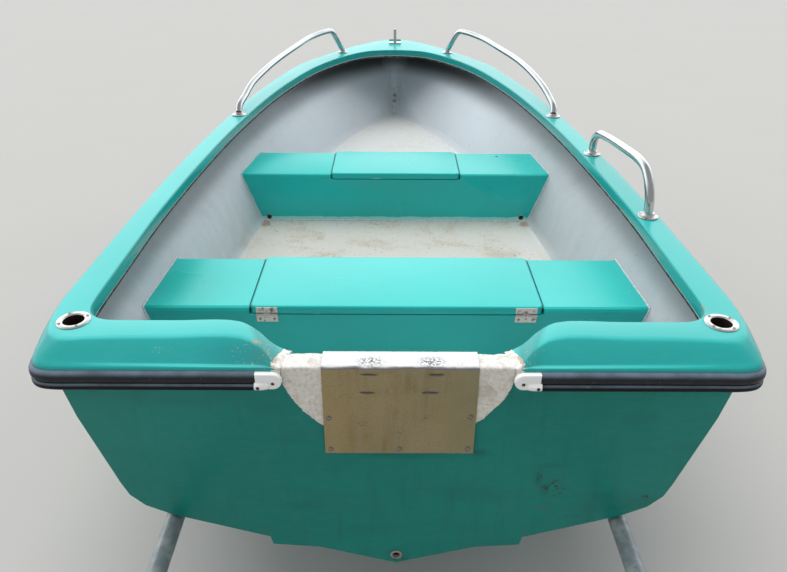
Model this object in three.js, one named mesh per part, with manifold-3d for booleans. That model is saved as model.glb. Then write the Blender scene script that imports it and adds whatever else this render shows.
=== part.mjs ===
// A small open fibreglass dinghy for a long-shaft motor, standing on its pipe cradle.
// Millimetres. X is to starboard, Y is forward and Z is up from the floor.
// Every piece is drawn with Y = 0 at the transom's face, and the group at the end centres the whole.
import * as THREE from "three";
import { mergeVertices } from "three/addons/utils/BufferGeometryUtils.js";
import Module from "manifold-3d";

// Driving dimensions of the boat
const LENGTH = 2994; // transom face to the tip of the bow moulding
const GUNWALE_Z = 774; // top of the gunwale moulding at the stern, above the floor
const SHEER_RISE = 30; // how much higher it is at the bow
const SKIN = 6; // fibreglass thickness of the hull
const TRANSOM_THICKNESS = 40;
const TRANSOM_TOP_Z = 735;
const SOLE_Z = 435; // top of the cockpit floor
const SOLE_THICKNESS = 6;
const SEAT_Z = 620; // top of both benches
const GAP = 0.3; // between pieces that touch

// The gunwale moulding's section
const MOULDING = 5;
const FLANGE_DROP = 77; // outer flange, from the top to its lower edge
const LIP_DROP = 26; // inner flange

// The rub rail and its end caps
const RAIL_BOTTOM_Z = 697;
const RAIL_HEIGHT = 42;
const RAIL_DEPTH = 10;
const CAP_LENGTH = 51;
const CAP_DEPTH = 12;
const CAP_INNER_X = 219;

// The two locker lids
const LID_THICKNESS = 6;
const LID_PROUD = 4; // above the bench
const LID_BOTTOM_Z = 603;
const LID_CLEARANCE = 3;
const LEDGE_Z = 600; // what the lid closes on
const HINGE_WIDTH = 54;
const HINGE_X = 325; // hinges of the aft lid, from the centreline
const FORWARD_HINGE_X = 170;
const PIN_Z = 602;
const PIN_OFFSET = 5; // pin centre, out from the bench's face
const KNUCKLE_RADIUS = 3.5;
const PIN_RADIUS = 1.5;

// The cradle
const PIPE_RADIUS = 20;
const PIPE_X = 490;
const PIPE_Z = 316;
const PIPE_AFT = -216; // end of the pipes behind the transom
const PIPE_FORWARD = 1790;
const CROSS_Z = 146;
const FOOT = 110;
const FOOT_THICKNESS = 8;

const COLOURS = {
  hull: 0x1f6a60,
  moulding: 0x7fd8d2,
  bench: 0x78d6d0,
  strip: 0xb4bdbf,
  sole: 0xc8cac3,
  pad: 0xeae8e2,
  plate: 0x8b8272,
  rubber: 0x34393f,
  plastic: 0xe8e8e4,
  stainless: 0xb9bcbd,
  galvanised: 0x8c9aa3,
};

const wasm = await Module();
wasm.setup();

// A closed geometry as a solid that can be cut and joined.
function solid(geometry) {
  const bare = new THREE.BufferGeometry();
  bare.setAttribute("position", geometry.getAttribute("position").clone());
  if (geometry.index) bare.setIndex(geometry.index.clone());
  const merged = mergeVertices(bare, 1e-3);
  const triVerts = new Uint32Array(merged.index.array);
  const vertProperties = merged.attributes.position.array;
  const made = new wasm.Manifold(new wasm.Mesh({ numProp: 3, vertProperties, triVerts }));
  if (made.volume() > 0) return made;
  for (let i = 0; i < triVerts.length; i += 3) {
    [triVerts[i + 1], triVerts[i + 2]] = [triVerts[i + 2], triVerts[i + 1]];
  }
  return new wasm.Manifold(new wasm.Mesh({ numProp: 3, vertProperties, triVerts }));
}

// A solid back as a geometry with flat shading.
function geometryOf(made) {
  const { vertProperties, triVerts, numProp } = made.getMesh();
  const positions = [];
  for (const v of triVerts) positions.push(...vertProperties.subarray(v * numProp, v * numProp + 3));
  const geometry = new THREE.BufferGeometry();
  geometry.setAttribute("position", new THREE.Float32BufferAttribute(positions, 3));
  geometry.computeVertexNormals();
  return geometry;
}

// Triangles that fill a flat outline, turning the same way round as it does.
function capTriangles(outline) {
  const triangles = THREE.ShapeUtils.triangulateShape(outline, []);
  const areas = triangles.map((t) => THREE.ShapeUtils.area(t.map((i) => outline[i])));
  const filled = areas.reduce((sum, area) => sum + area, 0);
  const same = filled * THREE.ShapeUtils.area(outline) > 0;
  return triangles.map(([a, b, c]) => (same ? [a, b, c] : [a, c, b]));
}

// A skin over rings of points, closed at both ends; flatOf gives a ring's outline in its own plane.
function loft(rings, flatOf) {
  const count = rings[0].length;
  const positions = rings.flat().flatMap((p) => [p.x, p.y, p.z]);
  const index = [];
  for (let r = 0; r + 1 < rings.length; r++) {
    for (let i = 0; i < count; i++) {
      const a = r * count + i;
      const b = r * count + ((i + 1) % count);
      index.push(a, b, b + count, a, b + count, a + count);
    }
  }
  const last = (rings.length - 1) * count;
  for (const [a, b, c] of capTriangles(flatOf(rings[0]))) index.push(a, c, b);
  for (const [a, b, c] of capTriangles(flatOf(rings.at(-1)))) index.push(last + a, last + b, last + c);
  const geometry = new THREE.BufferGeometry();
  geometry.setAttribute("position", new THREE.Float32BufferAttribute(positions, 3));
  geometry.setIndex(index);
  return geometry;
}

// A box from its low and high corners.
function box([x0, y0, z0], [x1, y1, z1]) {
  const geometry = new THREE.BoxGeometry(x1 - x0, y1 - y0, z1 - z0);
  return geometry.translate((x0 + x1) / 2, (y0 + y1) / 2, (z0 + z1) / 2);
}

// A cylinder between two points.
function rod(from, to, radius, sides = 20) {
  const a = new THREE.Vector3(...from);
  const b = new THREE.Vector3(...to);
  const geometry = new THREE.CylinderGeometry(radius, radius, a.distanceTo(b), sides);
  const turn = new THREE.Quaternion().setFromUnitVectors(
    new THREE.Vector3(0, 1, 0),
    b.clone().sub(a).normalize(),
  );
  return geometry.applyQuaternion(turn).translate(...a.add(b).multiplyScalar(0.5).toArray());
}

// An outline in the Y-Z plane pulled along X.
function slab(outline, x0, x1) {
  const shape = new THREE.Shape(outline.map(([y, z]) => new THREE.Vector2(y, z)));
  const geometry = new THREE.ExtrudeGeometry(shape, { depth: x1 - x0, bevelEnabled: false });
  geometry.applyMatrix4(new THREE.Matrix4().makeBasis(
    new THREE.Vector3(0, 1, 0),
    new THREE.Vector3(0, 0, 1),
    new THREE.Vector3(1, 0, 0),
  ));
  return geometry.translate(x0, 0, 0);
}

// A round tube along a smooth curve through points.
function tube(points, radius, steps, sides = 8) {
  const curve = new THREE.CatmullRomCurve3(points.map((p) => new THREE.Vector3(...p)), false, "centripetal");
  const section = new THREE.Shape();
  for (let i = 0; i < sides; i++) {
    const angle = (2 * Math.PI * i) / sides;
    const place = [radius * Math.cos(angle), radius * Math.sin(angle)];
    if (i) section.lineTo(...place);
    else section.moveTo(...place);
  }
  return new THREE.ExtrudeGeometry(section, { steps, extrudePath: curve, bevelEnabled: false });
}

const root = new THREE.Group();

// One named piece; geometry or a solid.
function piece(name, shape, colour, roughness = 0.5, metalness = 0) {
  const geometry = shape.isBufferGeometry ? shape : geometryOf(shape);
  const material = new THREE.MeshStandardMaterial({ color: colour, roughness, metalness });
  const mesh = new THREE.Mesh(geometry, material);
  mesh.name = name;
  root.add(mesh);
  return mesh;
}

const rise = (y) => SHEER_RISE * (Math.max(y, 0) / LENGTH) ** 2;

// The gunwale in plan, starboard half, from the pad to the bow.
// Columns: outer x, outer y, inner x, inner y, drop of the top below the gunwale's height,
// width of the outer shoulder, drop of the shoulder.
const QUARTER = [
  [232, -8, 216, 52, 28, 4, 4],
  [238, -8, 246, 68, 22, 16, 10],
  [260, -8, 277, 90, 8, 44, 24],
  [300, -8, 318, 113, 0, 66, 32],
  [450, -8, 450, 116, 0, 66, 32],
  [600, -8, 560, 116, 0, 66, 32],
  [655, -8, 592, 119, 0, 66, 32],
  [680, -3, 612, 128, 0, 66, 32],
  [694, 8, 626, 142, 0, 62, 32],
  [702, 28, 634, 162, 0, 46, 32],
];
// Columns: outer x, outer y, inner x, inner y
const SIDE = [
  [709, 80, 637, 185],
  [715, 180, 638, 235],
  [716, 270, 638, 300],
  [713, 437, 638, 440],
  [709, 620, 637, 640],
  [690, 1010, 618, 1010],
  [652, 1445, 580, 1420],
  [597, 1856, 518, 1830],
  [531, 2162, 453, 2110],
  [465, 2397, 379, 2340],
  [357, 2606, 270, 2545],
  [210, 2828, 150, 2678],
  [92, 2953, 60, 2708],
  [0, LENGTH, 0, 2713],
];
const SIDE_SHOULDER = 14;
const SHOULDER_DROP = 32;
const SIDE_STEPS = 25;

// A curve through one end of the side's pairs, mirrored past the bow so that the nose is round.
function planCurve(column) {
  const half = SIDE.map((row) => new THREE.Vector3(row[column], row[column + 1], 0));
  const other = half.slice(0, -1).reverse().map((p) => new THREE.Vector3(-p.x, p.y, 0));
  return new THREE.CatmullRomCurve3([...half, ...other], false, "centripetal");
}

// Stations of the whole gunwale, from the starboard end of the pad round the bow to the port end.
function gunwaleStations() {
  const outer = planCurve(0);
  const inner = planCurve(2);
  const starboard = QUARTER.map(([ox, oy, ix, iy, drop, shoulder, fall]) => ({
    outer: new THREE.Vector2(ox, oy),
    inner: new THREE.Vector2(ix, iy),
    drop,
    shoulder,
    fall,
  }));
  for (let i = 0; i <= SIDE_STEPS; i++) {
    const t = i / SIDE_STEPS / 2;
    const o = outer.getPoint(t);
    const n = inner.getPoint(t);
    starboard.push({
      outer: new THREE.Vector2(o.x, o.y),
      inner: new THREE.Vector2(n.x, n.y),
      drop: 0,
      shoulder: SIDE_SHOULDER,
      fall: SHOULDER_DROP,
    });
  }
  const port = starboard.slice(0, -1).reverse().map((s) => ({
    ...s,
    outer: new THREE.Vector2(-s.outer.x, s.outer.y),
    inner: new THREE.Vector2(-s.inner.x, s.inner.y),
  }));
  return [...starboard, ...port];
}
const stations = gunwaleStations();

// The moulding's section: distance in from the outer edge, and height from the top.
function mouldingOutline(width, shoulder, fall, drop) {
  const t = MOULDING;
  const foot = drop - FLANGE_DROP;
  const lip = Math.min(LIP_DROP, FLANGE_DROP - drop);
  const under = Math.max(fall, 10);
  return [
    [0, foot],
    [0, -fall],
    [shoulder * 0.22, -fall * 0.5],
    [shoulder * 0.6, -fall * 0.13],
    [shoulder, 0],
    [width - 5, 0],
    [width - 1.2, -1.6],
    [width, -6],
    [width, -lip],
    [width - t, -lip],
    [width - t, -t - 3],
    [width - t - 3, -t],
    [Math.max(shoulder + 2, t + 4), -t],
    [Math.max(shoulder * 0.6 + 2, t + 2), -under * 0.13 - t - 0.5],
    [Math.max(shoulder * 0.22 + 3, t + 0.6), -under * 0.5 - t - 0.8],
    [t, -under - t],
    [t, foot],
  ];
}

function stationRing(s, outline) {
  const inward = s.inner.clone().sub(s.outer).normalize();
  return outline.map(([a, b]) => {
    const place = s.outer.clone().addScaledVector(inward, a);
    return new THREE.Vector3(place.x, place.y, GUNWALE_Z + rise(place.y) - s.drop + b);
  });
}

// The outline of a ring that stands upright, for its end cap.
function uprightFlat(ring) {
  const across = new THREE.Vector2(ring[5].x - ring[0].x, ring[5].y - ring[0].y).normalize();
  return ring.map((p) => new THREE.Vector2(p.x * across.x + p.y * across.y, p.z));
}

function gunwale() {
  const rings = stations.map((s) => {
    const width = s.inner.distanceTo(s.outer);
    return stationRing(s, mouldingOutline(width, s.shoulder, s.fall, s.drop));
  });
  return solid(loft(rings, uprightFlat));
}

// The outer edge's half-breadth at a distance forward of the transom.
function edgeX(y) {
  const edge = stations.slice(0, QUARTER.length + SIDE_STEPS + 1).map((s) => s.outer);
  for (let i = 1; i < edge.length; i++) {
    const [a, b] = [edge[i - 1], edge[i]];
    if (y >= a.y && y <= b.y && b.y > a.y) return a.x + ((b.x - a.x) * (y - a.y)) / (b.y - a.y);
  }
  return 0;
}

// Hull sections, outside of the skin, starboard half.
// Columns: y, x and z at seat height, x and z at floor height, chine x and z, strake x and z,
// strake depth, keel z
const SECTIONS = [
  [0, 634, 620, 582, 440, 560, 370, 280, 277, 24, 192],
  [420, 642, 620, 588, 438, 566, 367, 284, 273, 24, 190],
  [900, 612, 620, 556, 436, 536, 365, 276, 270, 24, 190],
  [1350, 576, 620, 510, 436, 490, 367, 250, 272, 24, 190],
  [1700, 528, 622, 442, 440, 420, 380, 215, 283, 22, 196],
  [2164, 424, 630, 316, 446, 288, 400, 150, 314, 16, 224],
  [2500, 316, 640, 210, 470, 178, 424, 92, 356, 10, 274],
  [2700, 226, 655, 132, 510, 104, 468, 52, 408, 6, 340],
  [2820, 152, 675, 84, 560, 62, 528, 30, 482, 4, 428],
  [2900, 90, 705, 48, 630, 34, 608, 18, 578, 3, 540],
  [2945, 46, 740, 26, 700, 19, 688, 11, 668, 2, 646],
  [2968, 14, 770, 9, 752, 7, 744, 4.5, 732, 1.5, 722],
];
// How far forward the hull's rings stand, closer together at the two ends
const HULL_PLACES = [
  0, 12, 26, 42, 62, 100, 180, 300, 450, 650, 900, 1150, 1350, 1550, 1750, 1950, 2120, 2260, 2380, 2480, 2570,
  2640, 2700, 2750, 2795, 2835, 2870, 2900, 2925, 2945, 2958, 2968,
];
const SKIN_TOP_Z = GUNWALE_Z - 25;
const SKIN_EDGE = 7; // hull skin, in from the gunwale's outer edge
const CORNER_END = 50; // the transom's corners, where the skin is tucked in behind the moulding
const CORNER_TUCK = 4;
const BELT_DROP = 90;
const BELT_IN = 14;
// Near the transom the belt keeps in line with its edge, and widens forward by this much a millimetre.
const BELT_AT_TRANSOM = 647;
const BELT_FLARE = 0.2;

const sectionAt = (() => {
  const places = new Float32Array(SECTIONS.map((row) => row[0]));
  const values = new Float32Array(SECTIONS.flatMap((row) => row.slice(1)));
  const curve = new THREE.CubicInterpolant(places, values, SECTIONS[0].length - 1);
  return (y) => Array.from(curve.evaluate(y));
})();

// A ring round the hull at y, its skin moved in by inset, its top at topZ.
function hullRing(y, inset, topZ) {
  const [seatX, seatZ, floorX, floorZ, chineX, chineZ, strakeX, strakeZ, strake, keelZ] = sectionAt(y);
  const step = 5;
  const ahead = sectionAt(Math.min(y + step, SECTIONS.at(-1)[0]));
  const behind = sectionAt(Math.max(y - step, 0));
  const steep = (column) => Math.hypot(1, (ahead[column] - behind[column]) / (2 * step));
  const inX = inset * steep(2) * 1.1;
  const inZ = inset * steep(9);
  const lean = Math.hypot(1, (edgeX(y + step) - edgeX(y - step)) / (2 * step));
  const tuck = y < CORNER_END ? CORNER_TUCK : 0;
  const edge = Math.max(edgeX(y - tuck) - SKIN_EDGE * Math.min(lean, 4), 4);
  const belt = [
    Math.min(Math.max(edge - BELT_IN, (edge + seatX) / 2), BELT_AT_TRANSOM + BELT_FLARE * y),
    Math.max(SKIN_TOP_Z + rise(y) - BELT_DROP, (seatZ + SKIN_TOP_Z) / 2),
  ];
  const half = [
    [0, keelZ + inZ],
    [strakeX * 0.62, keelZ + (strakeZ - strake - keelZ) * 0.86 + inZ],
    [strakeX - strake * 0.2, strakeZ - strake + inZ],
    [strakeX, strakeZ + inZ],
    [strakeX + (chineX - strakeX) * 0.74, strakeZ + (chineZ - strakeZ) * 0.74 + inZ],
    [chineX - (chineX - strakeX) * 0.07, chineZ + (floorZ - chineZ) * 0.05 + inZ * 0.9],
    [chineX + (floorX - chineX) * 0.42, chineZ + (floorZ - chineZ) * 0.5 + inZ * 0.4],
    [floorX, floorZ],
    [seatX, seatZ],
    belt,
    [edge, SKIN_TOP_Z + rise(y)],
  ].map(([x, z], i) => [i ? Math.max(x - (i > 4 ? inX : inX * 0.3), 0.6 + i * 0.12) : 0, z]);
  const starboard = half.map(([x, z]) => new THREE.Vector3(x, y, z));
  starboard.push(new THREE.Vector3(half.at(-1)[0], y, topZ));
  const port = starboard.slice(1).reverse().map((p) => new THREE.Vector3(-p.x, p.y, p.z));
  return [...starboard, ...port];
}

const sectionFlat = (ring) => ring.map((p) => new THREE.Vector2(p.x, p.z));

// The hull as a closed solid between two stations, its skin moved in by inset.
function hullBody(from, to, inset, topZ) {
  const between = HULL_PLACES.filter((y) => y > from + 2 && y < to - 2);
  const rings = [from, ...between, to].map((y) => hullRing(y, inset, topZ));
  return solid(loft(rings, sectionFlat));
}

// Where the sheer is cut: everything above the skin's top, and lower over the transom.
function aboveSheer() {
  const outline = [[-60, 1200], [-60, TRANSOM_TOP_Z], [64, TRANSOM_TOP_Z], [64, SKIN_TOP_Z]];
  const parts = 12;
  for (let i = 1; i <= parts; i++) {
    const y = 64 + ((LENGTH + 60 - 64) * i) / parts;
    outline.push([y, SKIN_TOP_Z + rise(y)]);
  }
  outline.push([LENGTH + 60, 1200]);
  return solid(slab(outline, -900, 900));
}

const CEILING = 1000;
const DRAIN = { z: 219, radius: 11 };

function hullShell() {
  const outside = hullBody(0, 2968, 0, CEILING);
  const inside = hullBody(TRANSOM_THICKNESS, 2940, SKIN, CEILING + 50);
  const drain = solid(rod([0, -20, DRAIN.z], [0, TRANSOM_THICKNESS + 20, DRAIN.z], DRAIN.radius, 16));
  let shell = outside.subtract(aboveSheer()).subtract(inside).subtract(drain);
  for (const side of [-1, 1]) shell = shell.subtract(socketHole(side, 1.2));
  for (const leg of eyeLegs()) shell = shell.subtract(solid(rod(...leg, BOW_EYE.radius + 0.4, 12)));
  return shell;
}

// What fits inside the hull, clear of its skin.
const fitting = hullBody(TRANSOM_THICKNESS + 1, 2935, SKIN + 1, CEILING);

function sole() {
  const panel = box([-700, TRANSOM_THICKNESS + 1, SOLE_Z - SOLE_THICKNESS], [700, 2900, SOLE_Z]);
  return fitting.intersect(solid(panel));
}

// A bench's section with its two upper edges rounded.
function benchOutline(aft, forward, top, foot) {
  const r = 10;
  return [
    [aft, foot],
    [aft, top - r],
    [aft + r * 0.3, top - r * 0.3],
    [aft + r, top],
    [forward - r, top],
    [forward - r * 0.3, top - r * 0.3],
    [forward, top - r],
    [forward, foot],
  ];
}

const LIMBER_RADIUS = 9; // holes through a bench at the floor, which let water run aft

// A box bench across the cockpit with an open locker under its lid.
function bench({ aft, forward, lid, limbers }) {
  const wall = 6;
  const foot = SOLE_Z + GAP;
  const low = foot - 10;
  const recess = lid + LID_CLEARANCE;
  const mouth = recess - 38;
  const rim = 20;
  const outside = solid(slab(benchOutline(aft, forward, SEAT_Z, foot), -700, 700)).intersect(fitting);
  const under = solid(box([-700, aft + wall, low], [700, forward - wall, LEDGE_Z - wall]));
  const hollows = [under];
  for (const side of [-1, 1]) {
    const [x0, x1] = side < 0 ? [-700, -recess - wall] : [recess + wall, 700];
    hollows.push(solid(box([x0, aft + wall, low], [x1, forward - wall, SEAT_Z - wall])));
  }
  hollows.push(solid(box([-recess, aft - 10, LEDGE_Z], [recess, forward + 10, SEAT_Z + 20])));
  hollows.push(solid(box([-mouth, aft + rim, LEDGE_Z - 20], [mouth, forward - rim, SEAT_Z])));
  for (const x of limbers) {
    hollows.push(solid(rod([x, aft - 5, SOLE_Z + 13], [x, forward + 5, SOLE_Z + 13], LIMBER_RADIUS, 12)));
  }
  return hollows.reduce((body, hollow) => body.subtract(hollow), outside);
}

// A lid as a shallow tray turned over, with its corners rounded on the side away from the hinges.
function lidTray({ aft, forward, lid }) {
  const tray = (grow, bottom, top) => {
    const shape = new THREE.Shape();
    const r = 16 + grow;
    const [x, y0, y1] = [lid + grow, aft - 1 - grow, forward + 1 + grow];
    shape.moveTo(-x + r, y0);
    shape.lineTo(x - r, y0);
    shape.absarc(x - r, y0 + r, r, -Math.PI / 2, 0);
    shape.lineTo(x, y1 - r);
    shape.absarc(x - r, y1 - r, r, 0, Math.PI / 2);
    shape.lineTo(-x + r, y1);
    shape.absarc(-x + r, y1 - r, r, Math.PI / 2, Math.PI);
    shape.lineTo(-x, y0 + r);
    shape.absarc(-x + r, y0 + r, r, Math.PI, 1.5 * Math.PI);
    const depth = top - bottom;
    return new THREE.ExtrudeGeometry(shape, { depth, bevelEnabled: false, curveSegments: 4 }).translate(0, 0, bottom);
  };
  const top = SEAT_Z + LID_PROUD;
  const hollow = solid(tray(-LID_THICKNESS, LID_BOTTOM_Z - 10, top - LID_THICKNESS));
  return solid(tray(0, LID_BOTTOM_Z, top)).subtract(hollow);
}

// The two leaves of a butt hinge at x; face is the bench face it is on, out is -1 aft or 1 forward.
function hingeLeaves(x, face, out) {
  const half = HINGE_WIDTH / 2;
  const third = HINGE_WIDTH / 6;
  const thick = 2;
  const pinY = face + out * PIN_OFFSET;
  const span = (near, far) => [face + out * near, face + out * far].sort((a, b) => a - b);
  const knuckle = (x0, x1, radius, sides) => solid(rod([x + x0, pinY, PIN_Z], [x + x1, pinY, PIN_Z], radius, sides));
  const [f0, f1] = span(GAP, GAP + thick);
  const [u0, u1] = span(1 + GAP, 1 + GAP + thick);
  const fixedPlate = solid(box([x - half, f0, PIN_Z - 22], [x + half, f1, PIN_Z - 0.5]));
  const [w0, w1] = span(GAP, PIN_OFFSET);
  const fixedWeb = (x0, x1) => solid(box([x + x0, w0, PIN_Z - 3.2], [x + x1, w1, PIN_Z - 1.2]));
  const movingPlate = solid(box([x - half, u0, PIN_Z + 4], [x + half, u1, PIN_Z + 20]));
  const [v0, v1] = span(1 + GAP, PIN_OFFSET);
  const movingWeb = solid(box([x - third + 0.5, v0, PIN_Z + 1.2], [x + third - 0.5, v1, PIN_Z + 4.5]));
  let fixed = fixedPlate;
  for (const [x0, x1] of [[-half, -third], [third, half]]) {
    fixed = fixed.add(fixedWeb(x0, x1)).add(knuckle(x0, x1, KNUCKLE_RADIUS, 12));
  }
  const slot = solid(box([x - third, w0 - 1, PIN_Z - 4.5], [x + third, w1 + 5, PIN_Z + 6]));
  fixed = fixed.subtract(slot).add(knuckle(-half, half, PIN_RADIUS, 8));
  const bore = knuckle(-third, third, PIN_RADIUS + GAP, 8);
  const moving = movingPlate
    .add(movingWeb)
    .add(knuckle(-third + 0.5, third - 0.5, KNUCKLE_RADIUS, 12))
    .subtract(bore);
  return { fixed, moving };
}

// The rub rail's section: distance out from the gunwale's flange, and height from its foot.
const RAIL_OUTLINE = [
  [0.3, 0],
  [5, 0.4],
  [8.5, 2.5],
  [9.2, 7],
  [7.8, 11.5],
  [6.2, 14],
  [8.4, 17.5],
  [RAIL_DEPTH, 24],
  [RAIL_DEPTH - 0.8, 33],
  [6.5, 39.5],
  [3, RAIL_HEIGHT],
  [0.3, RAIL_HEIGHT],
];

function rubRail() {
  const kept = stations.filter((s) => Math.abs(s.outer.x) > 299 || s.outer.y > 0);
  const start = { ...stations[3], outer: new THREE.Vector2(CAP_INNER_X + CAP_LENGTH + GAP, -8) };
  const finish = { ...start, outer: new THREE.Vector2(-start.outer.x, -8) };
  const path = [start, ...kept, finish];
  const rings = path.map((s, i) => {
    const before = path[Math.max(i - 1, 0)].outer;
    const after = path[Math.min(i + 1, path.length - 1)].outer;
    const along = after.clone().sub(before).normalize();
    const z = RAIL_BOTTOM_Z + rise(s.outer.y);
    return RAIL_OUTLINE.map(([a, b]) => new THREE.Vector3(s.outer.x + along.y * a, s.outer.y - along.x * a, z + b));
  });
  return solid(loft(rings, (ring) => {
    const across = new THREE.Vector2(ring[7].x - ring[0].x, ring[7].y - ring[0].y).normalize();
    return ring.map((p) => new THREE.Vector2(p.x * across.x + p.y * across.y, p.z));
  }));
}

// A moulded cap that closes one end of the rub rail, its inner end rounded.
function railCap(side) {
  const shape = new THREE.Shape();
  const r = 19;
  const h = RAIL_HEIGHT;
  shape.moveTo(CAP_LENGTH, 0);
  shape.lineTo(CAP_LENGTH, h);
  shape.lineTo(r, h);
  shape.absarc(r, h - r, r, Math.PI / 2, Math.PI);
  shape.lineTo(0, r);
  shape.absarc(r, r, r, Math.PI, 1.5 * Math.PI);
  const geometry = new THREE.ExtrudeGeometry(shape, {
    depth: CAP_DEPTH - 3,
    bevelEnabled: true,
    bevelThickness: 3,
    bevelSize: 3,
    bevelOffset: -3,
    bevelSegments: 2,
    curveSegments: 6,
  });
  geometry.rotateX(Math.PI / 2).translate(CAP_INNER_X, -8 - GAP, RAIL_BOTTOM_Z).scale(side, 1, 1);
  return solid(geometry).intersect(solid(box([-900, -60, 0], [900, -8 - GAP, 900])));
}

const PATCH = 4; // how far the patch stands off the transom's face

// The reinforcing patch where a motor clamps: over the transom's top and down its face.
function transomPad() {
  const top = { low: TRANSOM_TOP_Z + GAP, high: 745 };
  const face = new THREE.Shape();
  face.moveTo(-198, top.high);
  face.lineTo(-230, 741);
  face.bezierCurveTo(-226, 700, -206, 646, -150, 602);
  face.bezierCurveTo(-100, 568, 100, 568, 150, 602);
  face.bezierCurveTo(206, 646, 226, 700, 230, 741);
  face.lineTo(198, top.high);
  const patch = new THREE.ExtrudeGeometry(face, { depth: PATCH, bevelEnabled: false, curveSegments: 8 });
  patch.rotateX(Math.PI / 2).translate(0, -GAP, 0);
  const aft = -PATCH - GAP;
  const plan = [[-228, aft], [228, aft], [216, 44], [-216, 44]].map(([x, y]) => new THREE.Vector2(x, y));
  const saddle = new THREE.ExtrudeGeometry(new THREE.Shape(plan), { depth: top.high - top.low, bevelEnabled: false });
  saddle.translate(0, 0, top.low);
  const beside = [[-900, -229], [229, 900]].map(([x0, x1]) => solid(box([x0, -40, 690], [x1, 0, 900])));
  return solid(patch).add(solid(saddle)).subtract(beside[0]).subtract(beside[1]);
}

const PLATE = { centre: 4, x: 150, thickness: 3, foldZ: 748.5, bottomZ: 533, aftY: -8.2, frontY: 44 };

// The folded metal plate that the motor's clamps bite on.
function motorPlate() {
  const { centre, x, thickness, foldZ, bottomZ, aftY, frontY } = PLATE;
  const outline = [
    [aftY, bottomZ],
    [aftY, foldZ - 3],
    [aftY + 1, foldZ - 0.8],
    [aftY + 3, foldZ],
    [frontY, foldZ],
    [frontY, foldZ - thickness],
    [aftY + thickness, foldZ - thickness],
    [aftY + thickness, bottomZ],
  ];
  return solid(slab(outline, centre - x, centre + x));
}

const SOCKET = { x: 650, y: 110, flange: 34.5, hole: 19, tube: 20.5, depth: 36 };

const socketHole = (side, clearance) => {
  const { x, y, tube: outer } = SOCKET;
  return solid(rod([side * x, y, 700], [side * x, y, 800], outer + clearance, 24));
};

// A round stainless socket let into the quarter's top.
function poleSocket(side) {
  const { x, y, flange, hole, tube: outer, depth } = SOCKET;
  const profile = [
    [hole, -depth],
    [outer, -depth],
    [outer, GAP],
    [flange - 1, GAP],
    [flange, 1.2],
    [flange - 1.5, 3],
    [hole + 1.5, 3],
    [hole, 2],
    [hole, -depth],
  ].map(([r, z]) => new THREE.Vector2(r, z));
  const ring = new THREE.LatheGeometry(profile, 24).rotateX(Math.PI / 2);
  return solid(ring.translate(side * x, y, GUNWALE_Z));
}

const TUBE_RADIUS = 12.5;
const BASE_RADIUS = 27;

// A point over the gunwale, inside its outer edge.
const overGunwale = (side, y, up, inside) => [side * (edgeX(y) - inside), y, GUNWALE_Z + rise(y) + up];

// A stainless rail: a bent tube with a round base under each end.
// profile columns: y, height over the gunwale, distance inside the gunwale's outer edge
function deckRail(side, profile, steps) {
  const points = profile.map(([y, up, inside]) => overGunwale(side, y, up, inside));
  let rail = solid(tube(points, TUBE_RADIUS, steps));
  for (const [y, , inside] of [profile[0], profile.at(-1)]) {
    const [x, , z] = overGunwale(side, y, 0, inside);
    rail = rail.add(solid(rod([x, y, z + 0.8], [x, y, z + 5], BASE_RADIUS, 20)));
    rail = rail.add(solid(rod([x, y, z + 4], [x, y, z + 12], TUBE_RADIUS + 3, 14)));
  }
  return rail;
}

// Columns: y, height over the gunwale, distance inside its outer edge to port and to starboard
const BOW_RAIL = [
  [1550, 10, 44, 40],
  [1568, 28, 42, 35],
  [1645, 48, 42, 29],
  [1740, 70, 41, 29],
  [1890, 92, 51, 32],
  [2030, 105, 57, 35],
  [2200, 116, 64, 48],
  [2380, 125, 66, 58],
  [2500, 129, 74, 70],
  [2548, 122, 74, 72],
  [2584, 88, 70, 70],
  [2622, 46, 63, 63],
  [2655, 10, 57, 57],
];
const bowRailFor = (side) => BOW_RAIL.map(([y, up, port, starboard]) => [y, up, side < 0 ? port : starboard]);

// Columns: y, height over the gunwale, distance inside its outer edge
const GRAB_RAIL = [
  [632, 3, 40],
  [636, 46, 42],
  [656, 86, 44],
  [692, 109, 43],
  [745, 116, 42],
  [850, 111, 44],
  [1000, 97, 45],
  [1065, 86, 46],
  [1110, 58, 42],
  [1126, 30, 39],
  [1127, 3, 38],
];

const BOLLARD_Y = 2880;
const BOLLARD = { height: 74, bar: 17, half: 32 };

// A cross bollard on the bow.
function bowBollard() {
  const z = GUNWALE_Z + rise(BOLLARD_Y) + 0.5;
  const { height, bar, half } = BOLLARD;
  return solid(box([-half, BOLLARD_Y - 16, z], [half, BOLLARD_Y + 16, z + 5]))
    .add(solid(rod([0, BOLLARD_Y, z + 2], [0, BOLLARD_Y, z + height], 8, 16)))
    .add(solid(rod([-half, BOLLARD_Y, z + bar], [half, BOLLARD_Y, z + bar], 5, 12)));
}

// A U-bolt through the stem for a bow line: a place on the stem, the way the stem runs there.
const BOW_EYE = { y: 2871, z: 494, along: [0.581, 0.814], half: 16, inside: 40, outside: 34, radius: 5 };

const onEye = (up, out) => {
  const [dy, dz] = BOW_EYE.along;
  return [0, BOW_EYE.y + dy * up + dz * out, BOW_EYE.z + dz * up - dy * out];
};

const eyeLegs = () => [-1, 1].map((end) => {
  const up = end * BOW_EYE.half;
  return [onEye(up, -BOW_EYE.inside), onEye(up, BOW_EYE.outside)];
});

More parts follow.
